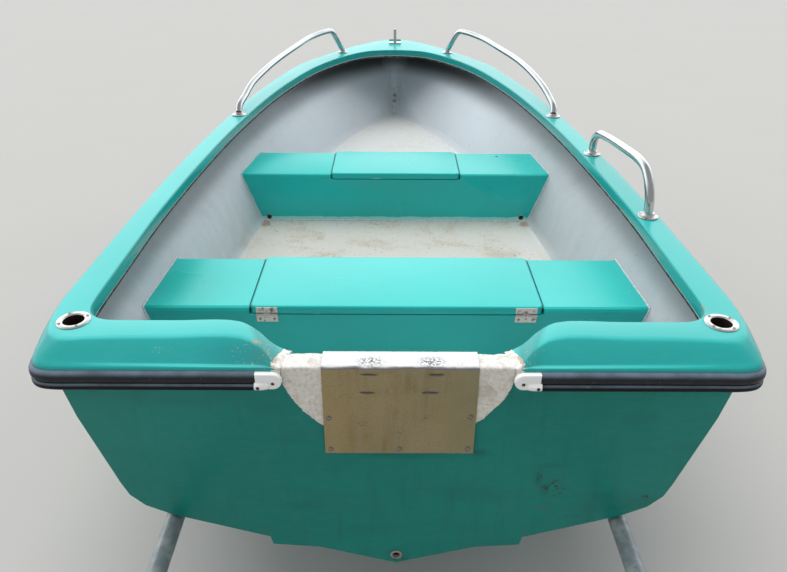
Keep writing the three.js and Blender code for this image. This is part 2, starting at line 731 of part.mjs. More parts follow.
function bowEye() {
  const bend = [];
  const parts = 8;
  for (let i = 0; i <= parts; i++) {
    const angle = Math.PI * (i / parts - 0.5);
    bend.push(onEye(BOW_EYE.half * Math.sin(angle), BOW_EYE.outside - 0.5 + BOW_EYE.half * Math.cos(angle)));
  }
  const legs = eyeLegs().map((leg) => solid(rod(...leg, BOW_EYE.radius, 8)));
  return solid(tube(bend, BOW_EYE.radius, 12)).add(legs[0]).add(legs[1]);
}

const STRIP = { low: 436, high: 556, half: 22, thickness: 24 };

// The strip inside the stem that takes the bow eye's load.
function backingStrip() {
  const inner = [];
  for (let y = 2780; y <= 2925; y += 5) {
    const slope = (sectionAt(y + 5)[9] - sectionAt(y - 5)[9]) / 10;
    inner.push([y, sectionAt(y)[9] + (SKIN + 1) * Math.hypot(1, slope)]);
  }
  const stem = inner.filter(([, z]) => z > STRIP.low && z < STRIP.high);
  const [dy, dz] = BOW_EYE.along;
  const aft = stem.map(([y, z]) => [y - dz * STRIP.thickness, z + dy * STRIP.thickness]).reverse();
  const foot = [stem[0][0] - STRIP.thickness / dz, stem[0][1]];
  let strip = solid(slab([...stem, ...aft, foot], -STRIP.half, STRIP.half)).intersect(fitting);
  for (const leg of eyeLegs()) strip = strip.subtract(solid(rod(...leg, BOW_EYE.radius + 0.4, 12)));
  return strip;
}

// The cradle: two pipes under the hull on three trestles.
const TRESTLES = [370, 1030, 1690];

function cradleLeg(side, y) {
  const x = side * PIPE_X;
  return solid(rod([x, y, FOOT_THICKNESS - 1], [x, y, PIPE_Z - PIPE_RADIUS - GAP], 17, 16))
    .add(solid(box([x - FOOT / 2, y - FOOT / 2, 0], [x + FOOT / 2, y + FOOT / 2, FOOT_THICKNESS])));
}

function cradle() {
  const finish = [COLOURS.galvanised, 0.45, 0.6];
  for (const [name, side] of [["port", -1], ["starboard", 1]]) {
    const x = side * PIPE_X;
    const pipe = solid(rod([x, PIPE_AFT, PIPE_Z], [x, PIPE_FORWARD, PIPE_Z], PIPE_RADIUS, 20));
    const bore = solid(rod([x, PIPE_AFT - 1, PIPE_Z], [x, PIPE_FORWARD + 1, PIPE_Z], PIPE_RADIUS - 3, 20));
    piece("cradle_pipe_" + name, pipe.subtract(bore), ...finish);
    TRESTLES.forEach((y, i) => piece("cradle_leg_" + name + "_" + (i + 1), cradleLeg(side, y), ...finish));
  }
  TRESTLES.forEach((y, i) => {
    const reach = PIPE_X - 17 - GAP;
    piece("cradle_crossbar_" + (i + 1), rod([-reach, y, CROSS_Z], [reach, y, CROSS_Z], 15, 16), ...finish);
  });
}

// The two benches: aft edge, forward edge, half the lid's width, half the hinge spacing,
// the side its hinges are on, and where its limber holes are
const BENCHES = [
  { name: "aft", aft: 413, forward: 683, lid: 367, hinges: HINGE_X, out: -1, limbers: [-500, 500] },
  { name: "forward", aft: 1350, forward: 1596, lid: 236, hinges: FORWARD_HINGE_X, out: 1, limbers: [-478, 478] },
];

function build() {
  piece("hull_shell", hullShell(), COLOURS.hull, 0.35);
  piece("cockpit_sole", sole(), COLOURS.sole, 0.6);
  let moulding = gunwale();
  for (const side of [-1, 1]) moulding = moulding.subtract(socketHole(side, 1));
  piece("gunwale_moulding", moulding, COLOURS.moulding, 0.3);
  piece("rub_rail", rubRail(), COLOURS.rubber, 0.6);
  for (const [name, side] of [["port", -1], ["starboard", 1]]) {
    piece("rub_rail_cap_" + name, railCap(side), COLOURS.plastic, 0.5);
    piece("pole_socket_" + name, poleSocket(side), COLOURS.stainless, 0.25, 1);
    piece("bow_rail_" + name, deckRail(side, bowRailFor(side), 30), COLOURS.stainless, 0.2, 1);
  }
  piece("grab_rail_starboard", deckRail(1, GRAB_RAIL, 24), COLOURS.stainless, 0.2, 1);
  piece("transom_pad", transomPad(), COLOURS.pad, 0.7);
  piece("motor_plate", motorPlate(), COLOURS.plate, 0.35, 0.9);
  for (const row of BENCHES) {
    piece(row.name + "_bench", bench(row), COLOURS.bench, 0.3);
    piece(row.name + "_bench_lid", lidTray(row), COLOURS.bench, 0.3);
    const face = row.out < 0 ? row.aft : row.forward;
    for (const [name, side] of [["port", -1], ["starboard", 1]]) {
      const { fixed, moving } = hingeLeaves(side * row.hinges, face, row.out);
      piece(row.name + "_hinge_" + name + "_fixed_leaf", fixed, COLOURS.stainless, 0.3, 1);
      piece(row.name + "_hinge_" + name + "_lid_leaf", moving, COLOURS.stainless, 0.3, 1);
    }
  }
  piece("bow_bollard", bowBollard(), COLOURS.stainless, 0.2, 1);
  piece("bow_eye", bowEye(), COLOURS.stainless, 0.2, 1);
  piece("stem_backing_strip", backingStrip(), COLOURS.strip, 0.6);
  cradle();
}

build();
// The tip of the rub rail at the bow is the boat's farthest point forward.
root.position.y = -(LENGTH + RAIL_DEPTH + PIPE_AFT) / 2;

export default root;
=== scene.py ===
# %% [markdown]
# # A small open boat on its cradle
# The real boat is a fibreglass dinghy: one moulding for the hull, one for the broad gunwale on top of it, two box
# benches with locker lids, bent stainless rails and a rubber rub rail. The solid model gives every size and place.
# Blender adds what a solid model leaves plain, such as rounded gelcoat edges, worn metal, rust, dirt and screws.

# %% Load the solid model
import math
import bmesh
import bpy
import numpy as np
from mathutils import Matrix, Vector, noise
from mathutils.bvhtree import BVHTree


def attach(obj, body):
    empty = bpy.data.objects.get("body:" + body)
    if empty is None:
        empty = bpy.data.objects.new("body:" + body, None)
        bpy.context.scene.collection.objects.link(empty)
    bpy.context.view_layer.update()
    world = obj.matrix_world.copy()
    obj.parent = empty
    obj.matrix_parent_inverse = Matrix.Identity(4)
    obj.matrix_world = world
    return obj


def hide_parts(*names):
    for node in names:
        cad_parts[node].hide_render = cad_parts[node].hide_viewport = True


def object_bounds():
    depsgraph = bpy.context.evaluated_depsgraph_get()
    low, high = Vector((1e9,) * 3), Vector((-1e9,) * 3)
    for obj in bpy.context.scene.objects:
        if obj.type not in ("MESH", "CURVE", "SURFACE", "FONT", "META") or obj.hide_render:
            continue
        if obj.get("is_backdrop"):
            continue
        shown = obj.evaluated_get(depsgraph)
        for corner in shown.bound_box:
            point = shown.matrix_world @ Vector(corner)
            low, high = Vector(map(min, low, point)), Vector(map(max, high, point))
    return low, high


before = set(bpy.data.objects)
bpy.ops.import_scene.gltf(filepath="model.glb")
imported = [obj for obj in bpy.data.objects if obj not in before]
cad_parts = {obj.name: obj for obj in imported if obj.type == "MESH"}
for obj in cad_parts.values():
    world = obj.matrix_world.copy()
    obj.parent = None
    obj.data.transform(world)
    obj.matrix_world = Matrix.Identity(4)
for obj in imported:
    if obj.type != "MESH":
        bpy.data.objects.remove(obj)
cad_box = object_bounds()
HULL = "hull_on_cradle"
MM = 0.001
TRANSOM_Y = -1.394  # the transom's aft face, in metres
print("solid parts:", len(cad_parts))

# %% [markdown]
# ## Camera
# The photograph was taken by someone standing behind the transom and looking down into the boat. The eye's height
# and the three angles come from a perspective fit, and the lens from the same fit's focal length in pixels.

# %% Camera
EYE = Vector((-0.0135, -2.450, 1.524))
PITCH, YAW, ROLL = (math.radians(angle) for angle in (29.77, 0.20, -0.34))
FOCAL_PIXELS, FRAME_PIXELS, SENSOR = 690.0, 787.0, 36.0

ahead = Vector((math.sin(YAW) * math.cos(PITCH), math.cos(YAW) * math.cos(PITCH), -math.sin(PITCH)))
above = Vector((math.sin(YAW) * math.sin(PITCH), math.cos(YAW) * math.sin(PITCH), math.cos(PITCH)))
aside = ahead.cross(above)
right = aside * math.cos(ROLL) - above * math.sin(ROLL)
up = aside * math.sin(ROLL) + above * math.cos(ROLL)

lens = bpy.data.cameras.new("photo_lens")
lens.sensor_width = SENSOR
lens.lens = SENSOR * FOCAL_PIXELS / FRAME_PIXELS
camera = bpy.data.objects.new("photo_camera", lens)
camera.matrix_world = Matrix.Translation(EYE) @ Matrix((right, up, -ahead)).transposed().to_4x4()
bpy.context.scene.collection.objects.link(camera)
bpy.context.scene.camera = camera
print(f"lens {lens.lens:.2f} mm, eye {EYE.z:.2f} m above the floor")

# %% [markdown]
# ## Finishes
# Every surface of the boat is mixed from a few kinds of node: noise for grain and dirt, soft spots for marks that
# lie in one place, and a bump for roughness that can be felt. This class keeps those few steps short. All of them
# read Object coordinates, which are the boat's own metres, because every piece lies at the origin.

# %% A finish and its nodes
def add_node(tree, kind, inputs, out=0, **settings):
    """Adds a shader node, links or sets its inputs, and gives back one of its outputs."""
    made = tree.nodes.new(kind)
    for key, value in settings.items():
        setattr(made, key, value)
    for key, value in inputs.items():
        if isinstance(value, bpy.types.NodeSocket):
            tree.links.new(value, made.inputs[key])
        else:
            made.inputs[key].default_value = value
    return made.outputs[out]


class Finish:
    """One material, and the kinds of node that this boat's finishes are mixed from."""

    def __init__(self, name, colour, roughness, metallic=0.0, specular=0.5):
        self.material = bpy.data.materials.new(name)
        self.material.use_nodes = True
        self.tree = self.material.node_tree
        self.shader = self.tree.nodes["Principled BSDF"]
        self.shader.inputs["Base Color"].default_value = (*colour, 1.0)
        self.shader.inputs["Roughness"].default_value = roughness
        self.shader.inputs["Metallic"].default_value = metallic
        self.shader.inputs["Specular IOR Level"].default_value = specular
        self.object_space = self.tree.nodes.new("ShaderNodeTexCoord").outputs["Object"]
        self.normal = self.tree.nodes.new("ShaderNodeNewGeometry").outputs["Normal"]
        self.relief = None

    def node(self, kind, inputs, out=0, **settings):
        return add_node(self.tree, kind, inputs, out, **settings)

    def place(self, centre=(0, 0, 0), size=(1, 1, 1), turn=(0, 0, 0)):
        """Coordinates that start at centre and count in units of size."""
        inputs = {"Vector": self.object_space, "Location": centre, "Rotation": turn, "Scale": size}
        return self.node("ShaderNodeMapping", inputs, vector_type="TEXTURE")

    def noise(self, scale, detail=3.0, at=None, distortion=0.0, roughness=0.55):
        inputs = {"Vector": at or self.object_space, "Scale": scale, "Detail": detail,
                  "Roughness": roughness, "Distortion": distortion}
        return self.node("ShaderNodeTexNoise", inputs)

    def range(self, value, low, high, out_low=0.0, out_high=1.0):
        inputs = {0: value, 1: low, 2: high, 3: out_low, 4: out_high}
        return self.node("ShaderNodeMapRange", inputs, interpolation_type="SMOOTHSTEP")

    def math(self, operation, a, b=0.0):
        return self.node("ShaderNodeMath", {0: a, 1: b}, operation=operation)

    def mix(self, factor, a, b, blend="MIX"):
        a, b = (v if isinstance(v, bpy.types.NodeSocket) else (*v, 1.0)[:4] for v in (a, b))
        return self.node("ShaderNodeMix", {0: factor, 6: a, 7: b}, 2, data_type="RGBA", blend_type=blend)

    def along(self, axis, low, high):
        """0 where the place along an axis is low, 1 where it is high, in metres."""
        place = self.node("ShaderNodeSeparateXYZ", {0: self.object_space}, "XYZ".index(axis))
        return self.range(place, low, high)

    def facing(self, axis, low, high):
        """0 where the surface faces an axis by low or less, 1 where by high or more, of -1 to 1."""
        share = self.node("ShaderNodeSeparateXYZ", {0: self.normal}, "XYZ".index(axis))
        return self.range(share, low, high)

    def spot(self, centre, size, soft):
        """1 inside an ellipsoid, fading to 0 at its edge."""
        length = self.node("ShaderNodeVectorMath", {0: self.place(centre, size)}, "Value", operation="LENGTH")
        return self.range(length, 1.0, 1.0 - soft)

    def ragged(self, mask, scale, amount=0.5):
        """A mask broken up by noise, so that a mark has an uneven edge."""
        return self.range(self.math("ADD", mask, self.noise(scale, 4)), 1.5 - amount, 1.8 - amount)

    def specks(self, mask, scale, share):
        """A mask broken up into specks."""
        return self.math("MULTIPLY", mask, self.range(self.noise(scale, 3), share, share + 0.08))

    def stained(self, colour, *layers):
        """Tints laid over a colour one after the other. A layer is a mask, a tint and a strength."""
        for mask, tint, strength in layers:
            colour = self.mix(self.math("MULTIPLY", mask, strength), colour, tint)
        return colour

    def marked(self, colour, marks):
        """Soft marks laid over a colour. Columns: centre, size, tint, strength."""
        return self.stained(colour, *((self.spot(at, size, 1.0), *look) for at, size, *look in marks))

    def speckled(self, colour, marks, strength, soft=0.9):
        """Marks made of specks. Columns: centre, size, tint, the specks' scale and share."""
        return self.stained(colour, *(
            (self.specks(self.spot(at, size, soft), *grain), tint, strength) for at, size, tint, *grain in marks))

    def bump(self, height, distance, strength=1.0):
        inputs = {"Height": height, "Distance": distance, "Strength": strength}
        if self.relief is not None:
            inputs["Normal"] = self.relief
        self.relief = self.node("ShaderNodeBump", inputs)
        self.tree.links.new(self.relief, self.shader.inputs["Normal"])

    def wear(self, colour=None, roughness=None, metallic=None):
        """Links what varies over the surface to the shader."""
        for name, socket in (("Base Color", colour), ("Roughness", roughness), ("Metallic", metallic)):
            if socket is not None:
                self.tree.links.new(socket, self.shader.inputs[name])


def tinged(colour, share, lift=0.0):
    """A colour made darker by share, then paler by lift."""
    return tuple(c * share + lift for c in colour)


# %% [markdown]
# ## Gelcoat
# Gelcoat is coloured resin, glossy when new and chalky later. The real boat's is turquoise, lighter where the sky
# falls on it. A large soft noise gives the slight clouding of hand-laid resin, a fine one gives the chalk, and a
# faint bump gives the ripple of the mould. Level tops are painted paler, and slopes and upright faces darker: this
# is painted light and shade, laid on as if sun had bleached the tops. One function mixes all three gelcoats, and
# the marks on each are laid over what it returns.

# %% Gelcoat
def gelcoat(name, colour, roughness, chalk, specular, depth):
    """Clouded and chalked resin: the finish, and its colour for marks to be laid on.

    depth is how much darker the faces that aren't level are painted, as painted shade.
    """
    finish = Finish(name, colour, roughness, specular=specular)
    clouds = finish.range(finish.noise(2.6, 4), 0.35, 0.7)
    wiped = finish.range(finish.noise(34, 4, finish.place(size=(1, 0.35, 0.35))), 0.35, 0.75)
    fine = finish.noise(220, 2)
    # Painted light and shade: level tops are made paler, and the other faces darker by depth.
    level = finish.facing("Z", 0.93, 0.985)
    base = finish.mix(clouds, tinged(colour, 0.88), colour)
    base = finish.stained(base, (wiped, tinged(colour, 0.75, 0.15), chalk), (level, tinged(colour, 0.92, 0.07), 0.5))
    steep_shade = finish.math("MULTIPLY", finish.math("SUBTRACT", 1.0, level), depth)
    base = finish.mix(steep_shade, base, (0.5, 0.5, 0.5), "MULTIPLY")
    base = finish.stained(base, (finish.range(fine, 0.62, 0.72), tinged(colour, 0.5), chalk))
    finish.wear(roughness=finish.range(finish.noise(3, 3), 0.25, 0.8, roughness * 0.85, roughness * 1.2))
    finish.bump(finish.noise(7, 1), 0.0008, 0.3)
    finish.bump(fine, 0.00005, 0.4)
    return finish, base


# %% [markdown]
# The gunwale's gelcoat is the glossiest. At both ends of the quarters it is soaked, grimy and worn through to the
# glass, and brown dirt has settled by the starboard socket. The starboard side's level tops are painted darker than
# the port side's, as painted shade.
# Each mark is a soft spot at its own place, and specks come from a spot broken up by fine noise.

# %% Gelcoat of the gunwale
deck_gelcoat, deck = gelcoat("deck_gelcoat", (0.02, 0.54, 0.515), 0.22, 0.06, 0.38, 0.6)
SOAKED, GRIME, BARE_GLASS = (0.012, 0.24, 0.25), (0.06, 0.22, 0.2), (0.55, 0.47, 0.36)
ORANGE_DIRT, BROWN_DIRT, SPLASH = (0.5, 0.3, 0.12), (0.4, 0.27, 0.1), (0.45, 0.68, 0.65)
STARBOARD_DECK_SHADE = (0.012, 0.40, 0.375)
DECK_MARKS = [
    ((-0.290, -1.370, 0.755), (0.12, 0.05, 0.05), SOAKED, 0.6),
    ((-0.250, -1.372, 0.752), (0.055, 0.05, 0.05), GRIME, 0.5),
    ((0.247, -1.372, 0.750), (0.045, 0.05, 0.05), GRIME, 0.3),
]
DECK_SPECKS = [
    ((-0.265, -1.372, 0.755), (0.07, 0.05, 0.04), BARE_GLASS, 190, 0.6),
    ((0.250, -1.372, 0.752), (0.04, 0.05, 0.04), BARE_GLASS, 190, 0.62),
    ((-0.275, -1.345, 0.770), (0.012, 0.012, 0.02), ORANGE_DIRT, 160, 0.4),
    ((0.628, -1.230, 0.774), (0.028, 0.04, 0.02), BROWN_DIRT, 120, 0.5),
    ((-0.456, -1.365, 0.762), (0.03, 0.012, 0.02), SPLASH, 240, 0.6),
]
deck = deck_gelcoat.marked(deck, DECK_MARKS)
for side in (-1, 1):
    worn_end = deck_gelcoat.spot((side * 0.222, -1.372, 0.742), (0.016, 0.06, 0.03), 0.9)
    deck = deck_gelcoat.stained(deck, (deck_gelcoat.ragged(worn_end, 160), BARE_GLASS, 0.95))
deck = deck_gelcoat.speckled(deck, DECK_SPECKS, 0.8)
# Painted shade: the level tops on the starboard side are darkened.
starboard_deck_shade = deck_gelcoat.math("MULTIPLY", deck_gelcoat.along("X", 0.2, 0.6), deck_gelcoat.facing("Z", 0.9, 0.98))
deck_gelcoat.wear(colour=deck_gelcoat.stained(deck, (starboard_deck_shade, STARBOARD_DECK_SHADE, 0.5)))
print("marks on the gunwale:", len(DECK_MARKS) + len(DECK_SPECKS))

# %% [markdown]
# The benches are the same resin, a little duller from being sat on. Their limber holes have rusty rims, and pale scum
# marks where bilge water stood. The port end of the aft seat is painted darker, as painted shade; the other seat has
# a small dark hole, and the edges are chipped.

# %% Gelcoat of the benches
bench_gelcoat, bench = gelcoat("bench_gelcoat", (0.016, 0.6, 0.56), 0.3, 0.06, 0.38, 0.2)
RUST, RUST_PALE, SCUM, HOLE = (0.16, 0.05, 0.02), (0.34, 0.17, 0.08), (0.4, 0.82, 0.78), (0.01, 0.02, 0.02)
PORT_END_SHADE, CHIPPED = (0.01, 0.36, 0.31), (0.7, 0.75, 0.7)
LIMBERS = [(-0.500, -0.981), (0.500, -0.981), (-0.478, -0.044), (0.478, -0.044)]
BENCH_CHIPS = [
    ((-0.07, -0.044, 0.604), (0.02, 0.006, 0.003)), ((-0.2, -0.981, 0.604), (0.01, 0.006, 0.002)),
    ((0.34, -0.981, 0.606), (0.014, 0.006, 0.002)), ((-0.33, -0.711, 0.62), (0.01, 0.006, 0.004)),
]
for x, y in LIMBERS:
    rusty_hole = bench_gelcoat.ragged(bench_gelcoat.spot((x, y, 0.446), (0.03, 0.03, 0.024), 0.7), 60, 0.4)
    bench = bench_gelcoat.stained(bench, (rusty_hole, RUST_PALE, 0.8))
bench = bench_gelcoat.stained(
    bench,
    (bench_gelcoat.ragged(bench_gelcoat.along("Z", 0.462, 0.446), 25, 0.4), SCUM, 0.9),
    (bench_gelcoat.spot((0.398, 0.16, 0.62), (0.007, 0.007, 0.01), 0.3), HOLE, 1.0),
    # Painted shade: the port end of the aft seat is darker.
    (bench_gelcoat.spot((-0.58, -0.86, 0.62), (0.19, 0.22, 0.06), 1.0), PORT_END_SHADE, 0.55),
)
bench = bench_gelcoat.speckled(bench, [(*chip, CHIPPED, 250, 0.4) for chip in BENCH_CHIPS], 0.8, soft=0.6)
bench_gelcoat.wear(colour=bench)
print("chips on the benches:", len(BENCH_CHIPS))

# %% [markdown]
# Below the rub rail the gelcoat is painted a deeper, duller green than the gunwale's: painted shade, since it is the
# same turquoise. The transom has been leaned on, scraped and splashed, so it has dark smears, and specks of scuffed
# and chipped resin, each read off at its place in millimetres. One dark band, along the plate's lower edge and as
# wide as the plate, is painted shadow. Faint level streaks and cloudy bands come from two noises squeezed in height.

# %% Gelcoat of the hull
# Painted shade: the hull's green is a darker copy of the gunwale's turquoise.
hull_gelcoat, outside = gelcoat("hull_gelcoat", (0.004, 0.24, 0.198), 0.42, 0.05, 0.2, 0.0)
SCUFF, CHIP, DARK_SMEAR_AND_SHADOW, STREAK = (0.045, 0.035, 0.03), (0.2, 0.07, 0.04), (0.006, 0.11, 0.095), (0.008, 0.15, 0.125)
# Marks on the transom, in millimetres: x, z, half width, half height, strength
TRANSOM_DARK_MARKS = [
    (296, 456, 12, 40, 0.6), (322, 492, 60, 14, 0.4), (314, 423, 16, 34, 0.4), (-193, 376, 70, 24, 0.3),
    # The band at x 4, z 519 runs along the plate's lower edge, as wide as the plate: painted shadow.
    (-60, 300, 110, 30, 0.25), (168, 528, 30, 16, 0.7), (4, 519, 150, 16, 0.35), (-250, 640, 80, 28, 0.25),
    (480, 620, 60, 40, 0.2), (0, 222, 40, 30, 0.4),
]
# The same, with a tint and the specks' scale in place of the strength
SPECKLED = [
    (532, 403, 15, 13, SCUFF, 130), (363, 341, 34, 6, SCUFF, 180), (392, 346, 20, 5, SCUFF, 220),
    (288, 290, 12, 7, CHIP, 200), (315, 372, 26, 8, CHIP, 200), (-289, 300, 14, 10, CHIP, 200),
    (156, 529, 14, 5, SCUFF, 260), (300, 462, 10, 26, SCUFF, 150), (5, 205, 26, 26, SCUFF, 150),
    (330, 430, 40, 40, SCUFF, 110),
]
MARK_DEPTH = 0.012


def at_transom(x, z, half_x, half_z):
    """The centre and size of a mark on the transom's face, from millimetres."""
    return (x * MM, TRANSOM_Y, z * MM), (half_x * MM, MARK_DEPTH, half_z * MM)


outside = hull_gelcoat.marked(outside, [(*at_transom(*row[:4]), DARK_SMEAR_AND_SHADOW, row[4]) for row in TRANSOM_DARK_MARKS])
outside = hull_gelcoat.speckled(outside, [(*at_transom(*row[:4]), *row[4:], 0.5) for row in SPECKLED], 0.85)
streaks = hull_gelcoat.noise(26, 5, hull_gelcoat.place(size=(0.6, 1, 4.0)), roughness=0.65)
bands = hull_gelcoat.noise(3.5, 5, hull_gelcoat.place(size=(1, 1, 0.25)))
outside = hull_gelcoat.stained(
    outside,
    (hull_gelcoat.range(streaks, 0.5, 0.75), STREAK, 0.45),
    (hull_gelcoat.range(bands, 0.5, 0.8), STREAK, 0.5),
)
hull_gelcoat.wear(colour=outside)
print("marks on the transom:", len(TRANSOM_DARK_MARKS) + len(SPECKLED))

# %% [markdown]
# ## Grey flow coat
# Inside, the hull is grey flow coat brushed over the glass, with pale runs where water has gone down it. Dirt and
# brown damp lie low. The coat is painted paler toward the bow, as painted light, and painted near black high up under
# the bow and grey in a thin band under the gunwale's lip, as painted shade. The starboard side is painted a little
# darker, also as painted shade. Each of these is a layer over the last one, so a layer's place and strength can be
# changed alone.

# %% Grey flow coat
SIDE_GREY, RUN_GREY, BOW_LIGHT_GREY = (0.53, 0.585, 0.625), (0.56, 0.61, 0.65), (0.72, 0.78, 0.84)
SMUDGE, DAMP_BROWN, FLECK = (0.40, 0.41, 0.41), (0.42, 0.35, 0.27), (0.22, 0.2, 0.18)
BOW_SHADE, LIP_SHADE, STARBOARD_SIDE_SHADE = (0.03, 0.03, 0.03), (0.12, 0.125, 0.14), (0.36, 0.39, 0.4)
inside_grey = Finish("inside_flow_coat", SIDE_GREY, 0.5, specular=0.35)
runs = inside_grey.noise(22, 5, inside_grey.place(size=(1, 1, 1.8)), roughness=0.65)
smudges = inside_grey.noise(5, 6, roughness=0.65)
damp = inside_grey.math("MULTIPLY", inside_grey.along("Z", 0.56, 0.43),
                        inside_grey.range(inside_grey.noise(14, 5), 0.35, 0.7))
# Painted shade: near black high up under the bow, and a grey band under the gunwale's lip.
under_bow_shade = inside_grey.math("MULTIPLY", inside_grey.along("Z", 0.62, 0.708), inside_grey.along("Y", 0.3, 1.2))
under_lip_shade = inside_grey.math("MULTIPLY", inside_grey.along("Z", 0.637, 0.674), inside_grey.along("Y", 1.2, 0.3))
streaked = inside_grey.mix(inside_grey.range(runs, 0.4, 0.7), tinged(SIDE_GREY, 0.97), RUN_GREY)
inside_grey.wear(
    colour=inside_grey.stained(
        streaked,
        (inside_grey.range(smudges, 0.5, 0.8), SMUDGE, 0.5),
        (damp, DAMP_BROWN, 0.4),
        # Painted light: paler toward the bow.
        (inside_grey.along("Y", -0.2, 0.9), BOW_LIGHT_GREY, 0.75),
        (under_bow_shade, BOW_SHADE, 0.93),
        (under_lip_shade, LIP_SHADE, 0.5),
        # Painted shade: the starboard side darker.
        (inside_grey.along("X", 0.36, 0.6), STARBOARD_SIDE_SHADE, 0.4),
        (inside_grey.range(inside_grey.noise(110, 2), 0.68, 0.74), FLECK, 0.5),
    ),
    roughness=inside_grey.range(smudges, 0.3, 0.7, 0.42, 0.62),
)
inside_grey.bump(inside_grey.noise(55, 5), 0.0012, 0.4)

# The strip inside the stem and the tapes round the benches are paler, with dribbles
strip_coat = Finish("strip_flow_coat", (0.62, 0.67, 0.69), 0.5, specular=0.35)
dribbles = strip_coat.range(strip_coat.noise(120, 4, strip_coat.place(size=(1, 1, 5.0))), 0.35, 0.7)
strip_coat.wear(colour=strip_coat.mix(dribbles, (0.5, 0.56, 0.6), (0.72, 0.76, 0.77)))
strip_coat.bump(strip_coat.noise(90, 3), 0.001, 0.5)
print("materials so far:", len(bpy.data.materials))

# %% [markdown]
# The floor is off-white flow coat. Brown dirt lies in its low places, which a detailed noise with a little distortion
# gives, and grit gathers where the dirt is. It is painted paler toward the bow, as painted light, and rust has run
# from each limber hole.

# %% Floor
FLOOR_WHITE, FLOOR_DIRT, FLOOR_PATCH = (0.64, 0.63, 0.59), (0.45, 0.37, 0.27), (0.7, 0.71, 0.71)
FLOOR_BOW_LIGHT, GRIT = (0.82, 0.85, 0.86), (0.16, 0.12, 0.08)
floor_coat = Finish("floor_flow_coat", FLOOR_WHITE, 0.55, specular=0.35)
dirt = floor_coat.noise(5, 8, distortion=0.4, roughness=0.7)
grit = floor_coat.math("ADD", floor_coat.noise(130, 3), floor_coat.math("MULTIPLY", dirt, 0.25))
dirty = floor_coat.stained(
    FLOOR_WHITE,
    (floor_coat.range(dirt, 0.48, 0.7), FLOOR_DIRT, 0.6),
    (floor_coat.range(floor_coat.noise(1.7, 3), 0.45, 0.7), FLOOR_PATCH, 0.5),
    # Painted light: paler toward the bow.
    (floor_coat.along("Y", 0.1, 0.5), FLOOR_BOW_LIGHT, 0.7),
    (floor_coat.range(grit, 0.76, 0.83), GRIT, 0.7),
)
for x, y in LIMBERS:
    rusty_run = floor_coat.ragged(floor_coat.spot((x * 1.04, y - 0.03, 0.435), (0.08, 0.07, 0.03), 0.9), 45, 0.35)
    dirty = floor_coat.stained(dirty, (rusty_run, RUST_PALE, 0.6))
floor_coat.wear(colour=dirty, roughness=floor_coat.range(dirt, 0.4, 0.8, 0.45, 0.8))
floor_coat.bump(floor_coat.noise(45, 6), 0.0015, 0.6)
print("rusty runs on the floor:", len(LIMBERS))

# %% [markdown]
# ## Bare fibreglass
# The pad on the transom is rough white glass that no mould has smoothed, so its weave and brush marks show as a
# coarse bump, with brown stains, mottling and pores. It is yellower on the face that looks aft. The underside of
# the gunwale is painted near black with a little mottling, as painted shade.

# %% Bare fibreglass
PAD_TOP, PAD_AFT = (0.87, 0.86, 0.83), (0.80, 0.77, 0.70)
PAD_STAIN, PAD_MOTTLE, PAD_PORE = (0.42, 0.37, 0.3), (0.56, 0.5, 0.44), (0.32, 0.28, 0.24)
LAP_BROWN = (0.42, 0.32, 0.2)
raw_glass = Finish("raw_glass", (0.8, 0.79, 0.76), 0.75, specular=0.3)
strands = raw_glass.noise(85, 6, raw_glass.place(size=(1, 0.5, 0.7), turn=(0.3, 0, 0.5)), distortion=1.2)
glass = raw_glass.stained(
    raw_glass.mix(raw_glass.facing("Z", 0.62, 0.25), PAD_TOP, PAD_AFT),
    (raw_glass.range(raw_glass.noise(24, 6, distortion=0.8), 0.52, 0.72), PAD_STAIN, 0.55),
    (raw_glass.range(raw_glass.noise(110, 3), 0.4, 0.68), PAD_MOTTLE, 0.5),
    (raw_glass.range(raw_glass.noise(290, 3), 0.57, 0.66), PAD_PORE, 0.3),
)
for side in (-1, 1):
    lapped = raw_glass.spot((side * 0.238, -1.372, 0.738), (0.02, 0.06, 0.045), 0.9)
    glass = raw_glass.stained(glass, (raw_glass.ragged(lapped, 150), LAP_BROWN, 0.75))
raw_glass.wear(colour=glass, roughness=raw_glass.range(strands, 0.3, 0.7, 0.6, 0.9))
raw_glass.bump(strands, 0.0014, 0.7)

# Painted shade: the gunwale's underside and the strip under its lip are near black.
underside_shade = Finish("underside_painted_shade", (0.06, 0.07, 0.07), 0.8, specular=0.2)
bare = underside_shade.range(underside_shade.noise(45, 6), 0.45, 0.6)
underside_shade.wear(colour=underside_shade.mix(bare, (0.035, 0.045, 0.045), (0.10, 0.115, 0.11)))
underside_shade.bump(underside_shade.noise(180, 4), 0.001)
print("pad from", PAD_TOP, "to", PAD_AFT)

# %% [markdown]
# ## Rubber and plastic
# Black rubber greys with dust wherever it looks up, and that bluish grey is also a painted sheen of the sky, so it
# follows the surface's direction and isn't laid on as a stripe. The faces of the strip that look down get a darker,
# less shiny rubber: painted shade. The caps are white plastic, grimy in patches.

# %% Rubber and plastic
RUBBER_CLEAN, RUBBER_DUST_AND_SHEEN, RUBBER_NICK = (0.007, 0.008, 0.011), (0.165, 0.22, 0.285), (0.3, 0.3, 0.28)
rubber = Finish("black_rubber", (0.012, 0.013, 0.015), 0.4, specular=0.3)
scuffed = rubber.range(rubber.noise(26, 5), 0.2, 0.75, 0.55, 1.0)
